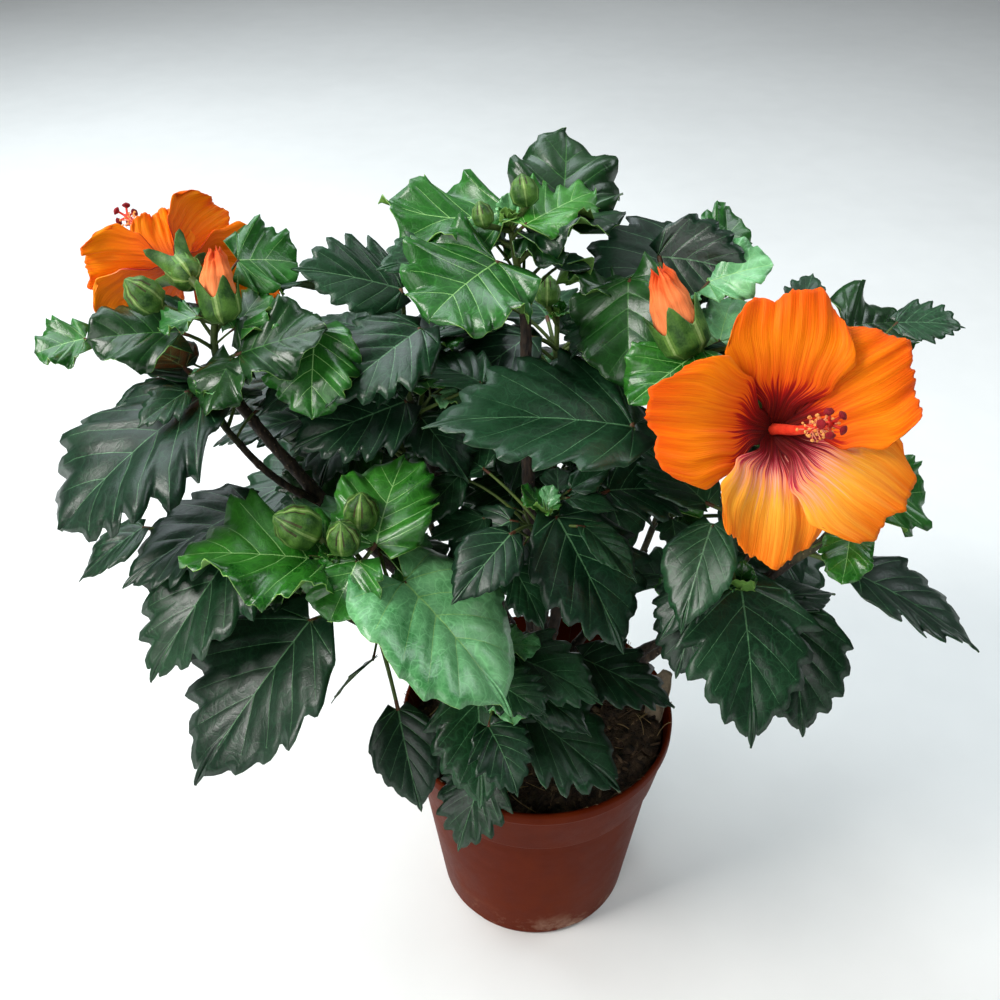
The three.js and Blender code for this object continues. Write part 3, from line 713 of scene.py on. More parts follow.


# Blooms: overlapping petals round a column with stamens and five pads, in a calyx with bracts.

# The petals' widths are a little fuller than the source's, so that their sides overlap.
# The turns of the lower petals, whose palette carries a painted highlight.
petal = dict(
    columns=60, rows=34, thickness=0.4, cup=0.16, corner=0.4, roundness=2.2, lobing=0.036, nibble=0.024,
    pleats=6, pleatDepth=0.22, ruffle=2.0, ruffles=1.7, crimp=0.6, crimps=6.5, crease=1.5, long=0.975,
    at=(0, 0.2, 0.42, 0.76, 1), across=(0.12, 0.27, 0.74, 1, 0.93), flushedAndLit=(200, 300), room=60,
)
columnForm = dict(foot=-8, thick=2.4, thin=1.15, sag=2.2, padReach=3.7, padLong=2.1, padWide=1.75)
stamen = dict(count=40, foot=0.6, head=0.93, long=(2.8, 5.2), thread=0.2, anther=0.62)
calyx = dict(
    cup=6.8, deep=12, long=9.5, spread=46, below=22, thickness=0.45, columns=50, rows=16, bracts=8,
    bract=dict(first=17, foot=(0.2, 0.5), lean=(0.7, 0.75), wide=0.22, bend=-50),
)


def scaleOf(root, along, out, long, wide, bend, thickness, fold=0.1):  # a narrow bract or stipule
    right = along.cross(out).normalized()
    curl = math.radians(bend)

    def place(column, row):
        u, s = column / 4 * 2 - 1, row / 7
        middle = root + (along * math.sin(curl * s) + out * (1 - math.cos(curl * s))) * long / curl
        facing = out * math.cos(curl * s) - along * math.sin(curl * s)
        half = wide / 2 * between(s, (0, 0.35, 0.72, 1), (0.55, 1, 0.62, 0.03))
        return middle + right * u * half - facing * u * u * half * fold

    return thicken(sheetOf(4, 7, place, 2), thickness)


def petalOf(middle, axes, turn, long, lift, slot, draw):
    basis = Matrix((axes[1], axes[2], axes[0])).transposed()
    phases = [2 * math.pi * draw() for _ in range(4)]
    long *= petal["long"]
    half = petalForm["wide"] * long / 2
    foot = Vector((0, 0, petalForm["foot"]))

    def place(column, row):
        u, v = column / petal["columns"] * 2 - 1, row / petal["rows"]
        edge = petal["lobing"] * (math.sin(5.1 * u + phases[0]) + 0.5 * math.sin(11.7 * u + phases[1]))
        edge += petal["nibble"] * noise.noise(Vector((u * 14, phases[1], 0)))
        arc = (1 - abs(u) ** petal["roundness"]) ** (1 / petal["roundness"])
        s = v * (1 - petal["corner"] * (1 - arc) * v ** 1.5 + edge * v ** 5)
        across = u * half * between(v, petal["at"], petal["across"])
        pleat = math.cos(petal["pleats"] * math.pi * u + 0.8 * math.sin(9 * v) + phases[2])
        crease = noise.noise(Vector((u * 6, v * 1.6, phases[0] * 3)))
        fineCrease = noise.noise(Vector((u * 17, v * 3, phases[1] * 3)))
        z = abs(across) * petal["cup"] * (1 - 0.5 * v ** 3) + petal["pleatDepth"] * v * pleat
        z += petal["crease"] * v * crease
        z += 0.3 * petal["crease"] * v * fineCrease
        z += petal["ruffle"] * v ** 3 * math.sin(petal["ruffles"] * math.pi * u + phases[2])
        z += petal["crimp"] * v ** 6 * math.sin(petal["crimps"] * math.pi * u + phases[3])
        _, right, up = bladeAxes(turn, lift + petalForm["bend"] * (0.5 - s), petalForm["roll"])
        onBlade = midribAt(foot, turn, lift, petalForm["bend"], long, s)
        return middle + basis @ (onBlade + right * across + up * z)

    part = sheetOf(petal["columns"], petal["rows"], place, slot)
    bmesh.ops.reverse_faces(part, faces=part.faces)  # the axes of a bloom are a mirror's
    # Undersides take slot 2, the backs' finish with its painted glow.
    return thicken(part, petal["thickness"], 2)


def grownRound(axes, count, start=0):
    for i in range(count):
        yield Matrix.Rotation(math.radians(360 / count * i + start), 3, axes[0]) @ axes[1]


# Slots of a calyx: green, pale seams, bracts, softer stripes beside the seams, brown tinge.
calyxStripes = (1, 3, 0, 0, 0, 0, 0, 0, 0, 3)


# A cup whose rim runs out into five pointed lobes that spread or close by an angle.
def lobedCup(base, axes, radius, cupLong, lobeLong, spread):
    along, right, _ = axes
    up = along.cross(right)
    columns, rows = calyx["columns"], calyx["rows"]

    def place(column, row):
        turn = 2 * math.pi * column / columns
        lobe = 1 - abs(math.sin(2.5 * turn)) ** 1.6
        v = (row / rows) ** 0.85
        s = v * (cupLong + lobeLong * lobe)
        past = max(0, s - cupLong * 0.8)
        curl = math.radians(spread) * past / lobeLong
        rise = min(s, cupLong * 0.8) + past * math.cos(curl * 0.6)
        wide = radius * between(s / cupLong, (0, 0.12, 0.4, 0.8), (0, 0.6, 0.96, 1))
        wide += past * math.sin(curl * 0.6)
        wide *= 1 + 0.05 * math.cos(5 * turn) * v - 0.015 * abs(math.cos(15 * turn))
        return base + along * rise + around(right, up, turn) * wide

    part = sheetOf(columns, rows, place, lambda column, row: calyxStripes[(column + 5) % 10])
    return thicken(part, calyx["thickness"])


def growBracts(base, axes, radius, bract, longOf):
    along = axes[0]
    (rise, reach), (onward, outward) = bract["foot"], bract["lean"]
    for out in grownRound(axes, calyx["bracts"], bract["first"]):
        root = base + along * radius * rise + out * radius * reach
        lean = (along * onward + out * outward).normalized()
        side, wide = squareTo(lean, out), radius * bract["wide"]
        heap("calyces", scaleOf(root, lean, side, radius * longOf(), wide, bract["bend"], 0.4))


def growCalyx(base, axes, radius, cupLong, lobeLong, spread, bractLong):  # base: where the stalk ends
    heap("calyces", lobedCup(base, axes, radius, cupLong, lobeLong, spread))
    growBracts(base, axes, radius, calyx["bract"], lambda: bractLong)


def growAnther(name, along, tip, draw):
    anther = newPart()
    bmesh.ops.create_icosphere(anther, subdivisions=1, radius=stamen["anther"] * (0.8 + 0.4 * draw()) * mm)
    bmesh.ops.scale(anther, vec=(1, 1.35, 0.75), verts=anther.verts)
    bmesh.ops.rotate(anther, matrix=Matrix.Rotation(6 * draw(), 3, along), verts=anther.verts)
    bmesh.ops.translate(anther, vec=tip * mm, verts=anther.verts)
    smoothen(anther.faces, 2)
    heap(name, anther)


def growColumn(middle, axes, long, draw, name):
    along, right, up = axes
    sag = up * -columnForm["sag"]

    def at(distance):
        return middle + along * distance + sag * math.sin(math.pi * clamp(distance / long, 0, 1)) * 0.5

    heap(name, tubeOf(
        lambda t: at(lerp(columnForm["foot"], long, t)),
        lambda t: lerp(columnForm["thick"], columnForm["thin"], t ** 0.7),
        14, 26, lambda turn, t: 1 + 0.08 * math.sin(5 * turn + 9 * t),
    ))
    for i in range(stamen["count"]):
        share = lerp(stamen["foot"], stamen["head"], (i + draw()) / stamen["count"])
        out = Matrix.Rotation(math.radians(goldenAngle * i), 3, along) @ right
        start = at(long * share)
        tip = start + (out + along * (0.25 + 0.5 * draw())).normalized() * lerp(*stamen["long"], draw())
        by = lerp(start, tip, 0.5) - along * 0.7
        heap(name, tubeOf(bendThrough(start, by, tip), stamen["thread"], 4, 3, slot=1))
        growAnther(name, along, tip, draw)
    for out in grownRound(axes, 5):
        pad = at(long + 1.6) + out * columnForm["padReach"]
        by = at(long + 0.5) + out * 0.8
        heap(name, tubeOf(bendThrough(at(long - 3), by, pad), 0.5, 6, 5))
        facing = (out + along * 0.7).normalized()
        heap(name, tubeOf(
            lambda t: pad + facing * (columnForm["padLong"] * t - 0.6),
            lambda t: columnForm["padWide"] * math.sin(math.pi * clamp(t, 0.06, 0.94)) ** 0.6,
            12, 8, lambda turn, t: 1 + 0.07 * math.cos(7 * turn), 3,
        ))


def growBloom(name, seed):
    bloom = blooms[name]
    axes = bladeAxes(bloom["heading"], bloom["pitch"], 0)
    middle = Vector(bloom["throat"])
    draw = seededRandom(seed)
    lowest, highest = petal["flushedAndLit"]
    for turn, long, lift in bloom["petals"]:
        # The lower petals take the second palette: their own pink flush round the eye, lightened with a
        # painted highlight.
        part = petalOf(middle, axes, turn, long, lift, 1 if lowest < turn % 360 < highest else 0, draw)
        bloomTrees.append(BVHTree.FromBMesh(part))
        grownBlades.append((name, middle, petal["room"], bloomTrees[-1]))
        heap(name.replace("bloom", "petals"), part)
    growColumn(middle, axes, bloom["column"], draw, name.replace("bloom", "column"))
    base = middle - axes[0] * calyx["below"]
    growCalyx(base, axes, calyx["cup"], calyx["deep"], calyx["long"], calyx["spread"], 1.6)
    stemTip = limbs[bloom["on"]](1)
    stalk = lineThrough([stemTip, lerp(stemTip, middle - axes[0] * 26, 0.6), base + axes[0] * 2])
    heap("twigs", tubeOf(
        stalk, lambda t: 1.35 + 0.9 * t ** 6, 10, 22,
        lambda turn, t: 1 + 0.12 * math.exp(-(((t - 0.62) * 14) ** 2)), 1,
    ))


# Buds: closed and striped, or opening with a furled orange tip.

bud = dict(
    ripe=1.5, swell=(0.3, 0.9, 1, 0.8, 0.34, 0.05), at=(0, 0.2, 0.46, 0.74, 0.92, 1), stalk=1.15,
    tipColumns=60, tipRows=38, cup=1.25, lobe=0.95, spread=4, bractLong=1.3, tinge=(9, 15),
    bract=dict(first=11, foot=(0.12, 0.34), lean=(0.85, 0.5), wide=0.24, bend=-52),
)


# Petals still furled, creased along their folds and ragged round the mouth.
def furledTip(base, axes, radius, long, start):
    along, right, _ = axes
    up = along.cross(right)
    columns, rows = bud["tipColumns"], bud["tipRows"]

    def place(column, row):
        turn, t = 2 * math.pi * column / columns, clamp((row - 1) / (rows - 2), 0, 1)
        middle = base + along * lerp(radius * 0.6, long * 0.98, t) + right * 2.2 * t * t
        if row in (0, rows):
            return middle
        fold = abs(math.sin(2.5 * turn + 3 * t + start))
        wide = radius * between(t, (0, 0.3, 0.6, 0.88, 1), (0.5, 0.84, 0.74, 0.5, 0.24))
        wide *= 1 + (0.07 + 0.4 * t ** 2) * (fold - 0.6) + 0.05 * t * math.sin(17 * turn + 3 * t)
        ragged = radius * t ** 5 * (0.42 * fold + 0.1 * math.sin(13 * turn))
        return middle + along * ragged + around(right, up, turn) * wide

    part = sheetOf(columns, rows, place, lambda column, row: 1 if row > rows - 2 else 0)
    bmesh.ops.remove_doubles(part, verts=part.verts, dist=weld)
    return part


def growClosedBud(line, base, axes, radius, draw):
    first, last = bud["tinge"]
    heap("calyces", tubeOf(
        line, lambda t: radius * between(t, bud["at"], bud["swell"]), calyx["columns"], calyx["rows"],
        lambda turn, t: 1 + 0.012 * math.cos(15 * turn) - (0.02 + 0.05 * t) * math.cos(5 * turn),
        lambda column, row: 4 if first < row < last and column % 10 in (2, 8) else calyxStripes[column % 10],
    ))
    growBracts(base, axes, radius, bud["bract"], lambda: 1.35 + 0.5 * draw())


def growBud(owner, row, draw):
    way, reach, rise, heading, pitch, radius, stretch = row
    root, joint = placeOn(limbs[owner], way, reach, rise)
    axes = bladeAxes(heading, pitch, 0)
    along = axes[0]
    long = 2 * radius * stretch
    base = root - along * long / 2

    def line(t):
        return base + along * long * t

    if stretch > bud["ripe"]:
        cupLong, lobeLong = radius * bud["cup"], radius * bud["lobe"]
        growCalyx(base, axes, radius, cupLong, lobeLong, bud["spread"], bud["bractLong"])
        heap("tips", furledTip(base, axes, radius, long, 6 * draw()))
    else:
        growClosedBud(line, base, axes, radius, draw)
    stalk = bendThrough(joint, lerp(joint, base, 0.6) + upward * 0.6, base + along)
    heap("twigs", tubeOf(stalk, lambda t: bud["stalk"] + 0.5 * t ** 5, 8, 10, slot=1))
    grownBlades.append((owner, root, long, treeOf(tubeOf(line, radius * 0.9, 6, 3))))


def massesFrom(seed):  # each mass with its stem and its own random draws
    for i, (name, mass) in enumerate(masses.items()):
        yield name, mass, limbs[name], seededRandom(seed + i)


for seed, name in enumerate(blooms):
    growBloom(name, 50 + seed)
for name, mass, stem, draw in massesFrom(70):
    for row in mass["buds"]:
        growBud(name, row, draw)
print("blooms and buds are grown")


# The leaves that give the crown its outline come first, then those of the growing rule.

spray = dict(
    kinds=("old", "old", "old", "smooth", "old", "glossy"),
    freshKinds=("glossy", "young", "old", "glossy"), smallKinds=("glossy", "old", "young", "smooth"),
    fresh=("foliage_top", "foliage_left", "foliage_mid_left"),
    twigs=3, twigLong=(9, 17), leavesOnTwig=3, smallLong=(13, 24), tuft=5, tuftLong=(6, 12),
)

for name, mass, stem, draw in massesFrom(100):
    for kind, way, reach, rise, heading, pitch, long, *roll in mass["leaves"]:
        root, joint = placeOn(stem, way, reach, rise)
        growLeaf(name, kind, root, joint, heading, pitch, long, roll[0] if roll else 0, draw, True)
for name, mass, stem, draw in massesFrom(200):
    kinds = spray["freshKinds"] if name in spray["fresh"] else spray["kinds"]
    for way, reach, rise, heading, pitch, long, roll in grownLeaves(**mass["grown"]):
        root, joint = placeOn(stem, way, reach, rise)
        growLeaf(name, kinds[int(draw() * len(kinds))], root, joint, heading, pitch, long, roll, draw)
print(f"{len(grownBlades)} blades and buds")


# Finer growth: side twigs with small leaves, and a tuft of the youngest at each stem's tip.

def growTwig(name, start, way, draw):
    tip = start + direction(way, 18 + 30 * draw()) * lerp(*spray["twigLong"], draw())
    twig = bendThrough(start, lerp(start, tip, 0.5) - upward * 1.2, tip)
    leavesHere = 0
    for j in range(spray["leavesOnTwig"]):
        heading = way + (j - 1) * 62 + 20 * (draw() - 0.5)
        root = tip + direction(heading, 10) * (3 + 3 * draw())
        kind = spray["smallKinds"][int(draw() * 4)]
        long = lerp(*spray["smallLong"], draw())
        pitch = 8 - 36 * draw()
        leavesHere += growLeaf(name, kind, root, twig(0.9), heading, pitch, long, 30 * (draw() - 0.5), draw)
    if leavesHere:
        heap("twigs", tubeOf(twig, lambda t: lerp(0.95, 0.6, t), 8, 8, slot=1))


def growTuft(tip, draw):
    for j in range(spray["tuft"]):
        heading = 360 / spray["tuft"] * j + 50 * draw()
        pitch = 35 + 40 * draw()
        root = tip + direction(heading, 55) * (1.5 + 2.5 * draw())
        tint = int(draw() * 3)
        long = lerp(*spray["tuftLong"], draw())
        heap("leaves_young", bladeOf(root, heading, pitch, long, 0, leafForms["young"], tint, draw, True))
        heap("twigs", stalkOf(tip - upward, root, direction(heading, pitch), 0.4))
        hair = direction(heading + 30, 70)
        side = squareTo(hair, direction(heading + 30, 0))
        heap("calyces", scaleOf(tip, hair, side, 4.5 + 2 * draw(), 0.8, 30, 0.25, 0.3))


for name, mass, stem, draw in massesFrom(300):
    grown = mass["grown"]
    count = spray["twigs"] + grown["count"] // 8
    for i in range(count):
        start = stem(lerp(0.15, 0.9, (i + draw()) / count))
        way = grown["middle"] + grown["spread"] * (((i * goldenAngle + 70) % 360) / 180 - 1)
        growTwig(name, start, way, draw)
    growTuft(stem(1), draw)
print(f"{len(grownBlades)} blades and buds with the finer growth")


# The pot: one moulded shell, turned from its profile, with notches round its foot.

mould = dict(corner=0.8, cornerSteps=3, notchBevel=1.2, sharp=48)


def roundedProfile(profile, radius, steps):
    rounded = [profile[0]]
    for before, here, after in zip(profile, profile[1:], profile[2:]):
        here = Vector(here)
        back, onward = Vector(before) - here, Vector(after) - here
        cut = min(radius, back.length * 0.45, onward.length * 0.45)
        corner = bendThrough(here + back.normalized() * cut, here, here + onward.normalized() * cut)
        rounded += [corner(i / steps) for i in range(steps + 1)]
    return [*rounded, profile[-1]]


def spunFrom(profile, steps):
    part = newPart()
    verts = [part.verts.new((point[0] * mm, 0, point[1] * mm)) for point in profile]
    edges = [part.edges.new(pair) for pair in zip(verts, verts[1:])]
    bmesh.ops.spin(
        part, geom=verts + edges, cent=(0, 0, 0), axis=(0, 0, 1), angle=2 * math.pi, steps=steps,
        use_merge=True,
    )
    bmesh.ops.remove_doubles(part, verts=part.verts, dist=1e-6)
    bmesh.ops.recalc_face_normals(part, faces=part.faces)
    return part


def makePot():
    height, rim, wall, floor = pot["height"], pot["rimRadius"], pot["wall"], pot["floor"]
    collar, shoulder, base = pot["collarRadius"], pot["shoulderRadius"], pot["baseRadius"]
    step = height - pot["collarHeight"]
    profile = [
        (0, 1.2), (base - 9, 1.2), (base - 8, 0), (base - 1, 0), (base, 2), (shoulder - 0.6, step - 8),
        (shoulder, step - 1.5), (collar, step), (rim - 0.9, height - 7), (rim, height - 6),
        (rim, height - 1.2), (rim - 0.8, height), (rim - wall - 0.2, height),
        (rim - wall - 0.8, height - 1.5), (collar - wall, step + 1), (shoulder - wall, step - 2),
        (base - wall, floor), (0, floor),
    ]
    part = spunFrom(roundedProfile(profile, mould["corner"], mould["cornerSteps"]), pot["steps"])
    smoothen(part.faces)
    heap("pot_shell", part)


def makeNotches():
    cutter = bmesh.new()
    for i in range(pot["notches"]):
        made = bmesh.ops.create_cube(cutter, size=1)["verts"]
        bmesh.ops.scale(cutter, vec=Vector(pot["notchSize"]) * mm, verts=made)
        bmesh.ops.translate(cutter, vec=(pot["baseRadius"] * mm, 0, 0), verts=made)
        turn = math.radians(pot["firstNotch"] + 360 / pot["notches"] * i)
        bmesh.ops.rotate(cutter, matrix=Matrix.Rotation(turn, 3, "Z"), verts=made)
    bmesh.ops.bevel(
        cutter, geom=cutter.edges[:], offset=mould["notchBevel"] * mm, offset_type="OFFSET", segments=2,
        profile=0.5, affect="EDGES", material=-1,
    )
    mesh = bpy.data.meshes.new("notches")
    cutter.to_mesh(mesh)
    cutter.free()
    return bpy.data.objects.new("notches", mesh)


def cutNotches(piece):
    notches = makeNotches()
    bpy.context.scene.collection.objects.link(notches)
    cut = piece.modifiers.new("notches", "BOOLEAN")
    cut.object = notches
    cut.operation = "DIFFERENCE"
    cut.solver = "EXACT"
    made = bpy.data.meshes.new_from_object(piece.evaluated_get(bpy.context.evaluated_depsgraph_get()))
    piece.modifiers.remove(cut)
    piece.data = made
    made.set_sharp_from_angle(angle=math.radians(mould["sharp"]))
    bpy.data.objects.remove(notches)


# The compost: a rough crumbly top with crumbs, chips, straw and a few fibres over the rim.

compost = dict(
    radius=60.6, bottom=96, rings=34, steps=150, roughness=2, heapedFrom=58.5, mound=9, moundAt=-15,
    crumbs=720, crumb=(0.6, 3.2), chips=0.4, pale=0.34, fibres=240, fibre=(5, 20), overRim=26, paleStraw=0.25,
)


def soilHeight(radius, turn):  # heaped up to one side of the rim
    edge, bare = compost["heapedFrom"], soil["clearing"]
    level = between(
        radius, (0, bare, bare + 12, edge - 12, edge),
        (soil["top"], soil["top"], soil["crest"] - 1.5, soil["crest"], soil["edge"]),
    )
    heaped = max(0, math.cos((turn - math.radians(compost["moundAt"])) * 0.8)) ** 2
    return level + compost["mound"] * between(radius, (26, 50, 61), (0, 1, 0.9)) * heaped


def onSoil(radius, turn, above):
    return Vector((math.cos(turn) * radius, math.sin(turn) * radius, soilHeight(radius, turn) + above))


def makeCompost():
    edge, bottom, rings = compost["radius"], compost["bottom"], compost["rings"]
    surface = [(edge * (1 - i / rings), soil["top"]) for i in range(rings + 1)]
    part = spunFrom([(0, bottom), (edge - 1.5, bottom), *surface], compost["steps"])
    for vert in part.verts:
        here = vert.co / mm
        radius = math.hypot(here.x, here.y)
        if here.z > bottom + 2:
            calm = clamp((edge - radius) / 2, 0, 1) * clamp((radius - 7) / 6, 0.2, 1)
            lump = noise.noise(here * 0.16) + 0.8 * noise.noise(here * 0.42) + 0.7 * noise.noise(here * 1.1)
            level = soilHeight(radius, math.atan2(here.y, here.x))
            vert.co.z = (level + compost["roughness"] * lump * calm) * mm
    smoothen(part.faces)
    heap("compost", part)


def addCrumb(draw):
    radius = (compost["radius"] - 2) * math.sqrt(0.03 + 0.97 * draw())
    turn = 2 * math.pi * (draw() - 0.5)
    size = lerp(*compost["crumb"], draw() ** 1.6)
    isChip = draw() < compost["chips"]
    crumb = newPart()
    bmesh.ops.create_icosphere(crumb, subdivisions=1, radius=size * mm)
    for vert in crumb.verts:
        vert.co *= 0.7 + 0.6 * draw()
    slim = (0.6 + 0.5 * draw()) * (0.45 if isChip else 1)
    bmesh.ops.scale(crumb, vec=(1.7 if isChip else 1, slim, 0.55), verts=crumb.verts)
    bmesh.ops.rotate(crumb, matrix=Matrix.Rotation(6 * draw(), 3, "Z"), verts=crumb.verts)
    bmesh.ops.translate(crumb, vec=onSoil(radius, turn, size * 0.3 + draw() - 0.3) * mm, verts=crumb.verts)
    isPale = draw() < compost["pale"]
    for face in crumb.faces:
        face.material_index = int(isPale)
    heap("compost", crumb)


# A fibre lies on the compost, or hangs over the rim.
def addFibre(draw, isOver):
    edge = compost["radius"] - 2
    radius = (edge - 4) * math.sqrt(draw())
    turn = 2 * math.pi * (draw() - 0.5)
    where = onSoil(edge if isOver else radius, turn, 0.9)
    heading = math.degrees(turn) + 50 * (draw() - 0.5) if isOver else 360 * draw()
    pitch = 45 if isOver else 22 * draw()
    onward = direction(heading, pitch) * (9 if isOver else lerp(*compost["fibre"], draw()))
    side = direction(heading + 90, 0) * 5 * (draw() - 0.5)
    end = where + onward
    if isOver:
        end.z = pot["height"] + 2
    else:
        end.z = soilHeight(math.hypot(end.x, end.y), math.atan2(end.y, end.x)) + 0.8 + 2 * draw()
        if math.hypot(end.x, end.y) > edge:
            return
    thin = lerp(0.14, 0.4, draw() ** 2)
    by = lerp(where, end, 0.5) + side + upward * (3 * draw() + (3 if isOver else 0))
    tint = 0 if draw() < compost["paleStraw"] else 1
    heap("straw", tubeOf(bendThrough(where, by, end), thin, 4, 4, slot=tint))


# A dried leaf stands furled against the rim, at the right.
dried = dict(root=(57, -2, 105), tip=(65, 8, 135), wide=11, furl=1.2, thickness=0.3, columns=10, rows=16)


def makeDriedLeaf():
    root, tip = Vector(dried["root"]), Vector(dried["tip"])
    along = (tip - root).normalized()
    right = along.cross(upward).normalized()
    out = right.cross(along)

    def place(column, row):
        u, s = column / dried["columns"] * 2 - 1, row / dried["rows"]
        half = dried["wide"] / 2 * between(s, (0, 0.3, 0.8, 1), (0.25, 0.9, 1, 0.5))
        ragged = 0.12 * noise.noise(Vector((u * 3, s * 5, 4))) + 0.05 * math.sin(u * 14 + s * 6)
        turn = u * dried["furl"]
        middle = root.lerp(tip, s * (1 + 0.1 * ragged)) + out * 5 * math.sin(s * 2.2)
        return middle + (right * math.sin(turn) + out * (1 - math.cos(turn) + ragged)) * half

    heap("straw", thicken(sheetOf(dried["columns"], dried["rows"], place, 2), dried["thickness"]))


makePot()
makeCompost()
draw = seededRandom(400)
for i in range(compost["crumbs"]):
    addCrumb(draw)
for i in range(compost["fibres"]):
    addFibre(draw, i < compost["overRim"])
makeDriedLeaf()
print("pot and compost are made")


# Materials. Effects that several share are node groups, which put out colours, masks and normals.

def colourOf(red, green, blue):
    shares = (channel / 255 for channel in (red, green, blue))
    return (*(s / 12.92 if s <= 0.04045 else ((s + 0.055) / 1.055) ** 2.4 for s in shares), 1)


def feed(tree, socket, value):
    if isinstance(value, bpy.types.NodeSocket):
        tree.links.new(value, socket)
    else:
        socket.default_value = value


def outputsOf(tree, kind, inputs, **settings):
    made = tree.nodes.new("ShaderNode" + kind)
    for name, value in settings.items():
        setattr(made, name, value)
    for name, value in inputs.items():
        feed(tree, made.inputs[name], value)
    return made.outputs


def nodeOf(tree, kind, inputs, **settings):  # its first output
    return outputsOf(tree, kind, inputs, **settings)[0]


def placeIn(tree):
    return outputsOf(tree, "TexCoord", {})["Object"]


def mathOf(tree, operation, *values):
    return nodeOf(tree, "Math", dict(enumerate(values)), operation=operation)


def noiseOf(tree, place, scale, detail, roughness=0.5, stretch=None):
    if stretch:
        place = nodeOf(tree, "Mapping", {"Vector": place, "Scale": stretch})
    return nodeOf(tree, "TexNoise", {
        "Vector": place, "Scale": scale, "Detail": detail, "Roughness": roughness,
    })


def edgesOf(tree, place, scale):  # the distance to the edges of the cells that a pattern has
    return nodeOf(tree, "TexVoronoi", {"Vector": place, "Scale": scale}, feature="DISTANCE_TO_EDGE")


def bumpOf(tree, height, strength, distance):
    return nodeOf(tree, "Bump", {"Strength": strength, "Distance": distance, "Height": height})


def mixOf(tree, factor, a, b):
    made = tree.nodes.new("ShaderNodeMix")
    made.data_type = "RGBA"
    for socket, value in zip((made.inputs[0], made.inputs[6], made.inputs[7]), (factor, a, b)):
        feed(tree, socket, value)
    return made.outputs[2]


def spreadOf(tree, value, low, high, out=(0, 1)):
    return nodeOf(tree, "MapRange", {
        "Value": value, "From Min": low, "From Max": high, "To Min": out[0], "To Max": out[1],
    })


def groupOf(name, inputs, outputs, build):
    tree = bpy.data.node_groups.new(name, "ShaderNodeTree")
    for side, sockets in (("INPUT", inputs), ("OUTPUT", outputs)):
        for label, kind in sockets.items():
            tree.interface.new_socket(label, in_out=side, socket_type="NodeSocket" + kind)
    given = tree.nodes.new("NodeGroupInput").outputs
    result = tree.nodes.new("NodeGroupOutput").inputs
    for label, socket in build(tree, given).items():
        tree.links.new(socket, result[label])
    return tree


def buildBlotches(tree, given):  # two tints in soft uneven patches, with finer mottling
    place = placeIn(tree)
    broad = noiseOf(tree, place, given["Scale"], 3)
    fine = noiseOf(tree, place, mathOf(tree, "MULTIPLY", given["Scale"], 9), 2)
    mask = spreadOf(tree, mathOf(tree, "MULTIPLY_ADD", fine, 0.35, broad), 0.5, 0.85)
    return {"Color": mixOf(tree, mask, given["Dark"], given["Light"]), "Mask": mask}


def buildVeinlets(tree, given):  # the net of fine veins between the side veins
    place = placeIn(tree)
    net = edgesOf(tree, place, given["Scale"])
    bent = outputsOf(tree, "TexNoise", {"Vector": place, "Scale": 60, "Detail": 2})[1]
    wide = mathOf(tree, "MULTIPLY", given["Scale"], 0.24)
    branch = edgesOf(tree, mixOf(tree, 0.03, place, bent), wide)
    branchLine = spreadOf(tree, branch, 0, 0.055, (1, 0))
    line = mathOf(tree, "MAXIMUM", branchLine, spreadOf(tree, net, 0, 0.16, (0.4, 0)))
    quilt = spreadOf(tree, branch, 0, 0.45, (0, 0.9))
    height = mathOf(tree, "MULTIPLY_ADD", line, -0.5, noiseOf(tree, place, 1500, 2))
    return {"Line": line, "Normal": bumpOf(tree, mathOf(tree, "ADD", height, quilt), given["Relief"], 0.001)}


def buildGrain(tree, given):  # a fine rough grain
    coarse = noiseOf(tree, placeIn(tree), given["Scale"], 6, 0.65)
    return {"Mask": coarse, "Normal": bumpOf(tree, coarse, given["Relief"], given["Depth"])}


blotches = groupOf(
    "blotches", dict(Dark="Color", Light="Color", Scale="Float"), dict(Color="Color", Mask="Float"),
    buildBlotches,
)
veinlets = groupOf(
    "veinlets", dict(Scale="Float", Relief="Float"), dict(Line="Float", Normal="Vector"), buildVeinlets,
)
grain = groupOf(
    "grain", dict(Scale="Float", Relief="Float", Depth="Float"), dict(Mask="Float", Normal="Vector"),
    buildGrain,
)


def blotchesIn(tree, dark, light, scale):
    tints = {"Dark": colourOf(*dark), "Light": colourOf(*light), "Scale": scale}
    return outputsOf(tree, "Group", tints, node_tree=blotches)


def grainIn(tree, relief, scale, depth):
    return outputsOf(tree, "Group", {"Scale": scale, "Relief": relief, "Depth": depth}, node_tree=grain)


def finishOf(name, build, **constants):
    material = bpy.data.materials.new(name)
    material.use_nodes = True
    tree = material.node_tree
    shader = tree.nodes["Principled BSDF"]
    for label, value in constants.items():
        shader.inputs[label.replace("_", " ")].default_value = value
    for label, socket in build(tree).items():
        tree.links.new(socket, shader.inputs[label])


def leafFinish(name, dark, light, veinlet, rough, relief, **constants):
    def build(tree):
        ground = blotchesIn(tree, dark, light, 26)
        net = outputsOf(tree, "Group", {"Scale": 520, "Relief": relief}, node_tree=veinlets)
        line = mathOf(tree, "MULTIPLY", net["Line"], veinlet)
        paler = colourOf(*(channel * 1.5 + 14 for channel in light))
        return {
            "Base Color": mixOf(tree, line, ground["Color"], paler),
            "Roughness": spreadOf(tree, ground["Mask"], 0, 1, rough),
            "Normal": net["Normal"],
        }

    finishOf(name, build, **constants)


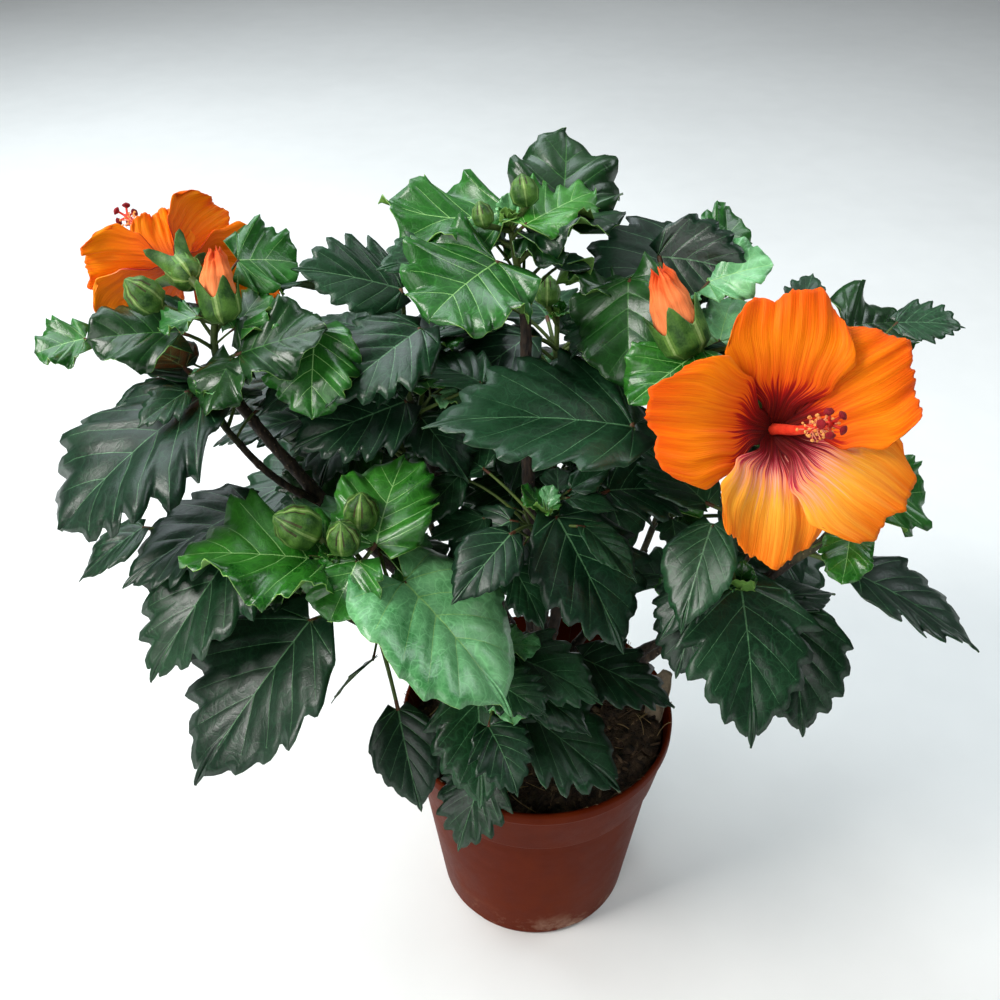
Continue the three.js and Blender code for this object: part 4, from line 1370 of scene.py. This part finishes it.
# Each kind of leaf: its finishes, each from dark to light, how rough it is, and how strong its
# fine veins and relief are. The finishes stand in the order of a leaf's slots.
leafLooks = {
    "old": dict(
        tints=dict(
            tint0=((7, 34, 16), (22, 58, 32)), tint1=((10, 41, 19), (29, 69, 39)),
            tint2=((4, 27, 13), (17, 48, 28)), vein3=((54, 94, 60), (80, 120, 82)),
            under4=((44, 64, 32), (62, 84, 44)), edge5=((24, 56, 32), (42, 76, 44)),
        ),
        rough=(0.31, 0.43), veinlet=0.3, relief=0.08, gloss=dict(Specular_IOR_Level=0.42),
    ),
    "glossy": dict(
        tints=dict(
            tint0=((3, 28, 6), (16, 58, 17)), tint1=((6, 36, 7), (24, 72, 20)),
            tint2=((2, 24, 8), (12, 50, 20)), vein3=((34, 78, 30), (56, 104, 44)),
            under4=((52, 88, 34), (76, 112, 48)), edge5=((88, 136, 62), (116, 158, 82)),
        ),
        rough=(0.26, 0.38), veinlet=0.18, relief=0.1,
        gloss=dict(Specular_IOR_Level=0.46, Coat_Weight=0.12, Coat_Roughness=0.2),
    ),
    "young": dict(
        # Their tint1, which the heart leaf always takes, is paler and bluish: a painted sheen over the blade's
        # own green.
        tints=dict(
            tint0=((16, 74, 12), (52, 120, 34)), tint1=((58, 124, 66), (116, 176, 120)),
            tint2=((10, 62, 12), (40, 104, 30)), vein3=((110, 160, 84), (140, 186, 112)),
            under4=((72, 114, 44), (98, 138, 58)), edge5=((112, 160, 70), (142, 184, 92)),
        ),
        rough=(0.26, 0.38), veinlet=0.18, relief=0.12,
        gloss=dict(Specular_IOR_Level=0.48, Coat_Weight=0.16, Coat_Roughness=0.2),
    ),
}
leafLooks["frilled"] = {**leafLooks["young"], "tints": {
    **leafLooks["young"]["tints"], "tint0": ((16, 68, 18), (42, 106, 34)),
    "tint1": ((20, 78, 18), (50, 116, 36)), "tint2": ((12, 58, 18), (34, 94, 32)),
}}
underside = dict(rough=(0.55, 0.7), gloss=dict(Specular_IOR_Level=0.25))


def makeLeafFinishes(kind):
    looks = leafLooks[kind]
    for part, (dark, light) in looks["tints"].items():
        shine = underside if part == "under4" else looks
        leafFinish(
            f"leaves_{kind}_{part}", dark, light, looks["veinlet"], shine["rough"], looks["relief"],
            **shine["gloss"],
        )


def leafFinishes(kind):
    return [f"leaves_{kind}_{part}" for part in leafLooks[kind]["tints"]]


def plainFinish(name, dark, light, scale, rough, relief, grainScale, depth, shine=0.5):
    def build(tree):
        surface = grainIn(tree, relief, grainScale, depth)
        return {
            "Base Color": blotchesIn(tree, dark, light, scale)["Color"],
            "Roughness": spreadOf(tree, surface["Mask"], 0.3, 0.7, rough),
            "Normal": surface["Normal"],
        }

    finishOf(name, build, Specular_IOR_Level=shine)


def barkFinish(name, dark, light, lenticel):
    def build(tree):
        place = placeIn(tree)
        streak = noiseOf(tree, place, 620, 5, stretch=(1, 1, 0.3))
        spot = spreadOf(tree, nodeOf(tree, "TexVoronoi", {"Vector": place, "Scale": 420}), 0.12, 0.2, (1, 0))
        ground = mixOf(tree, spreadOf(tree, streak, 0.35, 0.7), colourOf(*dark), colourOf(*light))
        height = mathOf(tree, "MULTIPLY_ADD", spot, 0.5, streak)
        return {
            "Base Color": mixOf(tree, spot, ground, colourOf(*lenticel)),
            "Normal": bumpOf(tree, height, 0.7, 0.0012),
        }

    finishOf(name, build, Roughness=0.72, Specular_IOR_Level=0.35)


# The petals' colours from the throat outwards, as shares of a petal's length.
petalLooks = {
    "petal_plain": [
        (0.0, (34, 0, 3)), (0.2, (84, 0, 6)), (0.29, (134, 4, 10)), (0.34, (176, 22, 8)),
        (0.39, (228, 84, 4)), (0.66, (250, 128, 6)), (1.0, (238, 92, 4)),
    ],
    # The lower petals: their own pink flush round the eye, and a painted highlight that makes them lighter and
    # yellower throughout.
    "petal_flushed_and_lit": [
        (0.0, (34, 0, 3)), (0.22, (86, 0, 12)), (0.3, (140, 4, 40)), (0.36, (196, 44, 70)),
        (0.43, (248, 144, 90)), (0.6, (255, 172, 52)), (1.0, (248, 122, 18)),
    ],
    # The backs: their own orange, brightened with painted light that shines through the petals from above.
    "petal_back_with_painted_glow": [
        (0.0, (190, 58, 30)), (0.3, (232, 92, 14)), (0.6, (250, 122, 2)), (0.9, (255, 142, 2)),
        (1.0, (246, 112, 8)),
    ],
    "furled_petal": [
        (0.0, (226, 108, 52)), (0.4, (244, 142, 86)), (0.75, (242, 126, 66)), (0.93, (226, 88, 34)),
        (1.0, (190, 56, 20)),
    ],
    "furled_edge": [(0.0, (150, 36, 10)), (1.0, (196, 66, 20))],
}
petalVeins = dict(streaks=(34, 1.8, 1), fine=(90, 3, 1), line=(206, 58, 4), rays=(252, 186, 160))


def rampOf(tree, value, stops):
    ramp = tree.nodes.new("ShaderNodeValToRGB")
    feed(tree, ramp.inputs[0], value)
    made = ramp.color_ramp.elements
    while len(made) < len(stops):
        made.new(0.5)
    for stop, (share, colour) in zip(made, stops):
        stop.position = share
        stop.color = colourOf(*colour)
    return ramp.outputs[0]


def petalFinish(name, streakDepth):
    def build(tree):
        place = nodeOf(tree, "UVMap", {}, uv_map="surface")
        streak = noiseOf(tree, place, 1, 4, stretch=petalVeins["streaks"])
        fine = noiseOf(tree, place, 1, 3, stretch=petalVeins["fine"])
        outward = outputsOf(tree, "SeparateXYZ", {0: place})[1]
        shifted = mathOf(tree, "ADD", outward, spreadOf(tree, streak, 0.3, 0.7, (-streakDepth, streakDepth)))
        ground = rampOf(tree, shifted, petalLooks[name])
        lines = spreadOf(tree, fine, 0.42, 0.62, (0, 0.2))
        veined = mixOf(tree, lines, ground, colourOf(*petalVeins["line"]))
        if name == "petal_flushed_and_lit":
            inner, outer = spreadOf(tree, shifted, 0.24, 0.34), spreadOf(tree, shifted, 0.42, 0.66, (1, 0))
            near = mathOf(tree, "MULTIPLY", inner, outer)
            rays = mathOf(tree, "MULTIPLY", near, spreadOf(tree, fine, 0.5, 0.62, (0, 0.8)))
            veined = mixOf(tree, rays, veined, colourOf(*petalVeins["rays"]))
        return {
            "Base Color": veined,
            "Normal": bumpOf(tree, mathOf(tree, "MULTIPLY_ADD", streak, 0.6, fine), 0.4, 0.001),
            "Roughness": spreadOf(tree, fine, 0.3, 0.7, (0.42, 0.6)),
        }

    finishOf(
        name, build, Specular_IOR_Level=0.1, Sheen_Weight=0.04, Sheen_Roughness=0.4, Subsurface_Weight=0.1,
        Subsurface_Scale=0.002,
    )


plastic = dict(dark=(84, 24, 3), light=(98, 33, 5), dust=(146, 92, 66), lime=(168, 138, 118), limeRise=0.022)


def potFinish():
    def build(tree):
        place = placeIn(tree)
        rise = outputsOf(tree, "SeparateXYZ", {0: place})[2]
        dust = noiseOf(tree, place, 60, 6, 0.7)
        low = spreadOf(tree, rise, 0, plastic["limeRise"], (1, 0))
        limy = mathOf(tree, "MULTIPLY", spreadOf(tree, dust, 0.5, 0.72), low)
        ground = blotchesIn(tree, plastic["dark"], plastic["light"], 14)["Color"]
        worn = mixOf(tree, spreadOf(tree, dust, 0.5, 0.8, (0, 0.06)), ground, colourOf(*plastic["dust"]))
        return {
            "Base Color": mixOf(tree, limy, worn, colourOf(*plastic["lime"])),
            "Roughness": spreadOf(tree, dust, 0.3, 0.75, (0.36, 0.56)),
            "Normal": grainIn(tree, 0.12, 900, 0.0005)["Normal"],
        }

    finishOf("pot_plastic", build, Specular_IOR_Level=0.03)


# Each plain finish: its dark and light tints, the scale of its patches, its range of roughness,
# the relief, scale and depth of its grain, and its shine where that isn't the usual one.
plainLooks = {
    "stem_green": ((58, 76, 36), (86, 104, 48), 120, (0.4, 0.55), 0.3, 700, 0.0006, 0.25),
    "stalk_red": ((74, 42, 30), (92, 66, 40), 160, (0.4, 0.55), 0.3, 700, 0.0006, 0.25),
    "calyx_green": ((32, 68, 22), (84, 124, 50), 160, (0.36, 0.5), 0.35, 900, 0.0006, 0.25),
    "calyx_pale": ((98, 128, 66), (150, 174, 104), 120, (0.4, 0.52), 0.35, 900, 0.0006, 0.25),
    "calyx_soft": ((56, 92, 34), (104, 138, 60), 120, (0.4, 0.52), 0.35, 900, 0.0006, 0.25),
    "calyx_brown": ((40, 44, 22), (66, 66, 32), 200, (0.4, 0.52), 0.35, 900, 0.0006, 0.25),
    "bract_green": ((62, 112, 44), (96, 140, 60), 90, (0.4, 0.55), 0.3, 900, 0.0006, 0.25),
    "column_red": ((196, 30, 22), (226, 66, 40), 160, (0.35, 0.5), 0.3, 900, 0.0006, 0.25),
    "thread_pink": ((226, 120, 92), (240, 170, 130), 200, (0.45, 0.6), 0.3, 900, 0.0004, 0.25),
    "anther_pale": ((226, 122, 50), (244, 178, 96), 300, (0.6, 0.8), 0.8, 2400, 0.0006, 0.25),
    "pad_crimson": ((118, 6, 18), (158, 18, 30), 300, (0.5, 0.7), 0.9, 2200, 0.0008, 0.25),
    "peat": ((26, 18, 12), (98, 75, 54), 240, (0.8, 0.98), 1, 900, 0.002),
    "peat_pale": ((78, 59, 42), (134, 107, 78), 240, (0.75, 0.95), 0.8, 900, 0.001),
    "straw_pale": ((150, 120, 78), (186, 158, 110), 240, (0.6, 0.8), 0.5, 1200, 0.0005),
    "straw_dark": ((58, 40, 24), (92, 66, 40), 240, (0.7, 0.9), 0.5, 1200, 0.0005),
    "dry_leaf": ((104, 92, 78), (158, 142, 118), 90, (0.6, 0.8), 0.6, 700, 0.001),
    "floor_paint": ((236, 236, 234), (242, 242, 240), 3, (0.7, 0.8), 0.05, 60, 0.0004),
}

for name, look in plainLooks.items():
    plainFinish(name, *look)
barkFinish("bark_old", (26, 19, 15), (66, 52, 40), (104, 88, 70))
barkFinish("bark_young", (40, 38, 24), (72, 68, 42), (112, 100, 72))
for name in petalLooks:
    petalFinish(name, 0.11 if name in ("petal_plain", "petal_flushed_and_lit") else 0.08)
for kind in leafLooks:
    makeLeafFinishes(kind)
potFinish()
print("materials are made")


# Finished pieces, each in the place of its solids.

everyMass = list(masses)
backMasses = [name for name in masses if "back" in name]
buddedMasses = [name for name in masses if masses[name]["buds"]]
calyxFinishes = ["calyx_green", "calyx_pale", "bract_green", "calyx_soft", "calyx_brown"]
columnFinishes = ["column_red", "thread_pink", "anther_pale", "pad_crimson"]

finishPiece("wood", ["bark_old"], ["trunk", *boughs])
finishPiece("twigs", ["bark_young", "stem_green", "stalk_red"], everyMass)
finishPiece("leaves_old", leafFinishes("old"), everyMass)
finishPiece("leaves_old_back", leafFinishes("old"), backMasses)
for kind in ("glossy", "young", "frilled"):
    finishPiece("leaves_" + kind, leafFinishes(kind), everyMass)
finishPiece("calyces", calyxFinishes, [*everyMass, *blooms])
finishPiece("tips", ["furled_petal", "furled_edge"], buddedMasses)
for side in ("right", "left"):
    finishPiece("petals_" + side, ["petal_plain", "petal_flushed_and_lit", "petal_back_with_painted_glow"], ["bloom_" + side])
    finishPiece("column_" + side, columnFinishes, ["bloom_" + side])
cutNotches(finishPiece("pot_shell", ["pot_plastic"], ["pot"]))
finishPiece("compost", ["peat", "peat_pale"], ["soil"])
finishPiece("straw", ["straw_pale", "straw_dark", "dry_leaf"], ["soil"])


# A plain pale floor, soft light from the upper left and front, and a fill from the right.

studio = dict(
    floor=12.0, world=0.08, sky=(0.84, 0.93, 1.0), aim=(0, 0, 0.2),
    lamps=[
        ("key", (-1.05, -0.4, 1.2), 0.6, 22, (1, 0.98, 0.95)),
        ("front", (-0.5, -1.4, 0.75), 0.9, 8, (1, 1, 1)),
        ("window", (-0.75, 0.8, 1.4), 1.3, 22, (0.84, 0.94, 1)),
        ("ceiling", (0.3, 0.9, 2.2), 3.0, 12, (0.94, 0.97, 1)),
        ("sheen", (0.85, 0.15, 1.15), 0.6, 6, (0.88, 0.96, 1)),
    ],
)


def makeFloor():
    part = bmesh.new()
    bmesh.ops.create_grid(part, x_segments=2, y_segments=2, size=studio["floor"] / 2)
    mesh = bpy.data.meshes.new("floor")
    part.to_mesh(mesh)
    part.free()
    mesh.materials.append(bpy.data.materials["floor_paint"])
    floor = bpy.data.objects.new("floor", mesh)
    bpy.context.scene.collection.objects.link(floor)


def makeLamp(name, place, size, power, colour):
    lamp = bpy.data.lights.new(name, "AREA")
    lamp.color = colour
    lamp.energy = power
    lamp.size = size
    holder = bpy.data.objects.new(name, lamp)
    bpy.context.scene.collection.objects.link(holder)
    holder.location = place
    holder.rotation_euler = (Vector(studio["aim"]) - Vector(place)).to_track_quat("-Z", "Y").to_euler()


makeFloor()
for lamp in studio["lamps"]:
    makeLamp(*lamp)
world = bpy.data.worlds.new("studio")
bpy.context.scene.world = world
world.use_nodes = True
sky = world.node_tree.nodes["Background"].inputs
sky["Color"].default_value = (*studio["sky"], 1)
sky["Strength"].default_value = studio["world"]
bpy.context.scene.view_settings.view_transform = "Standard"
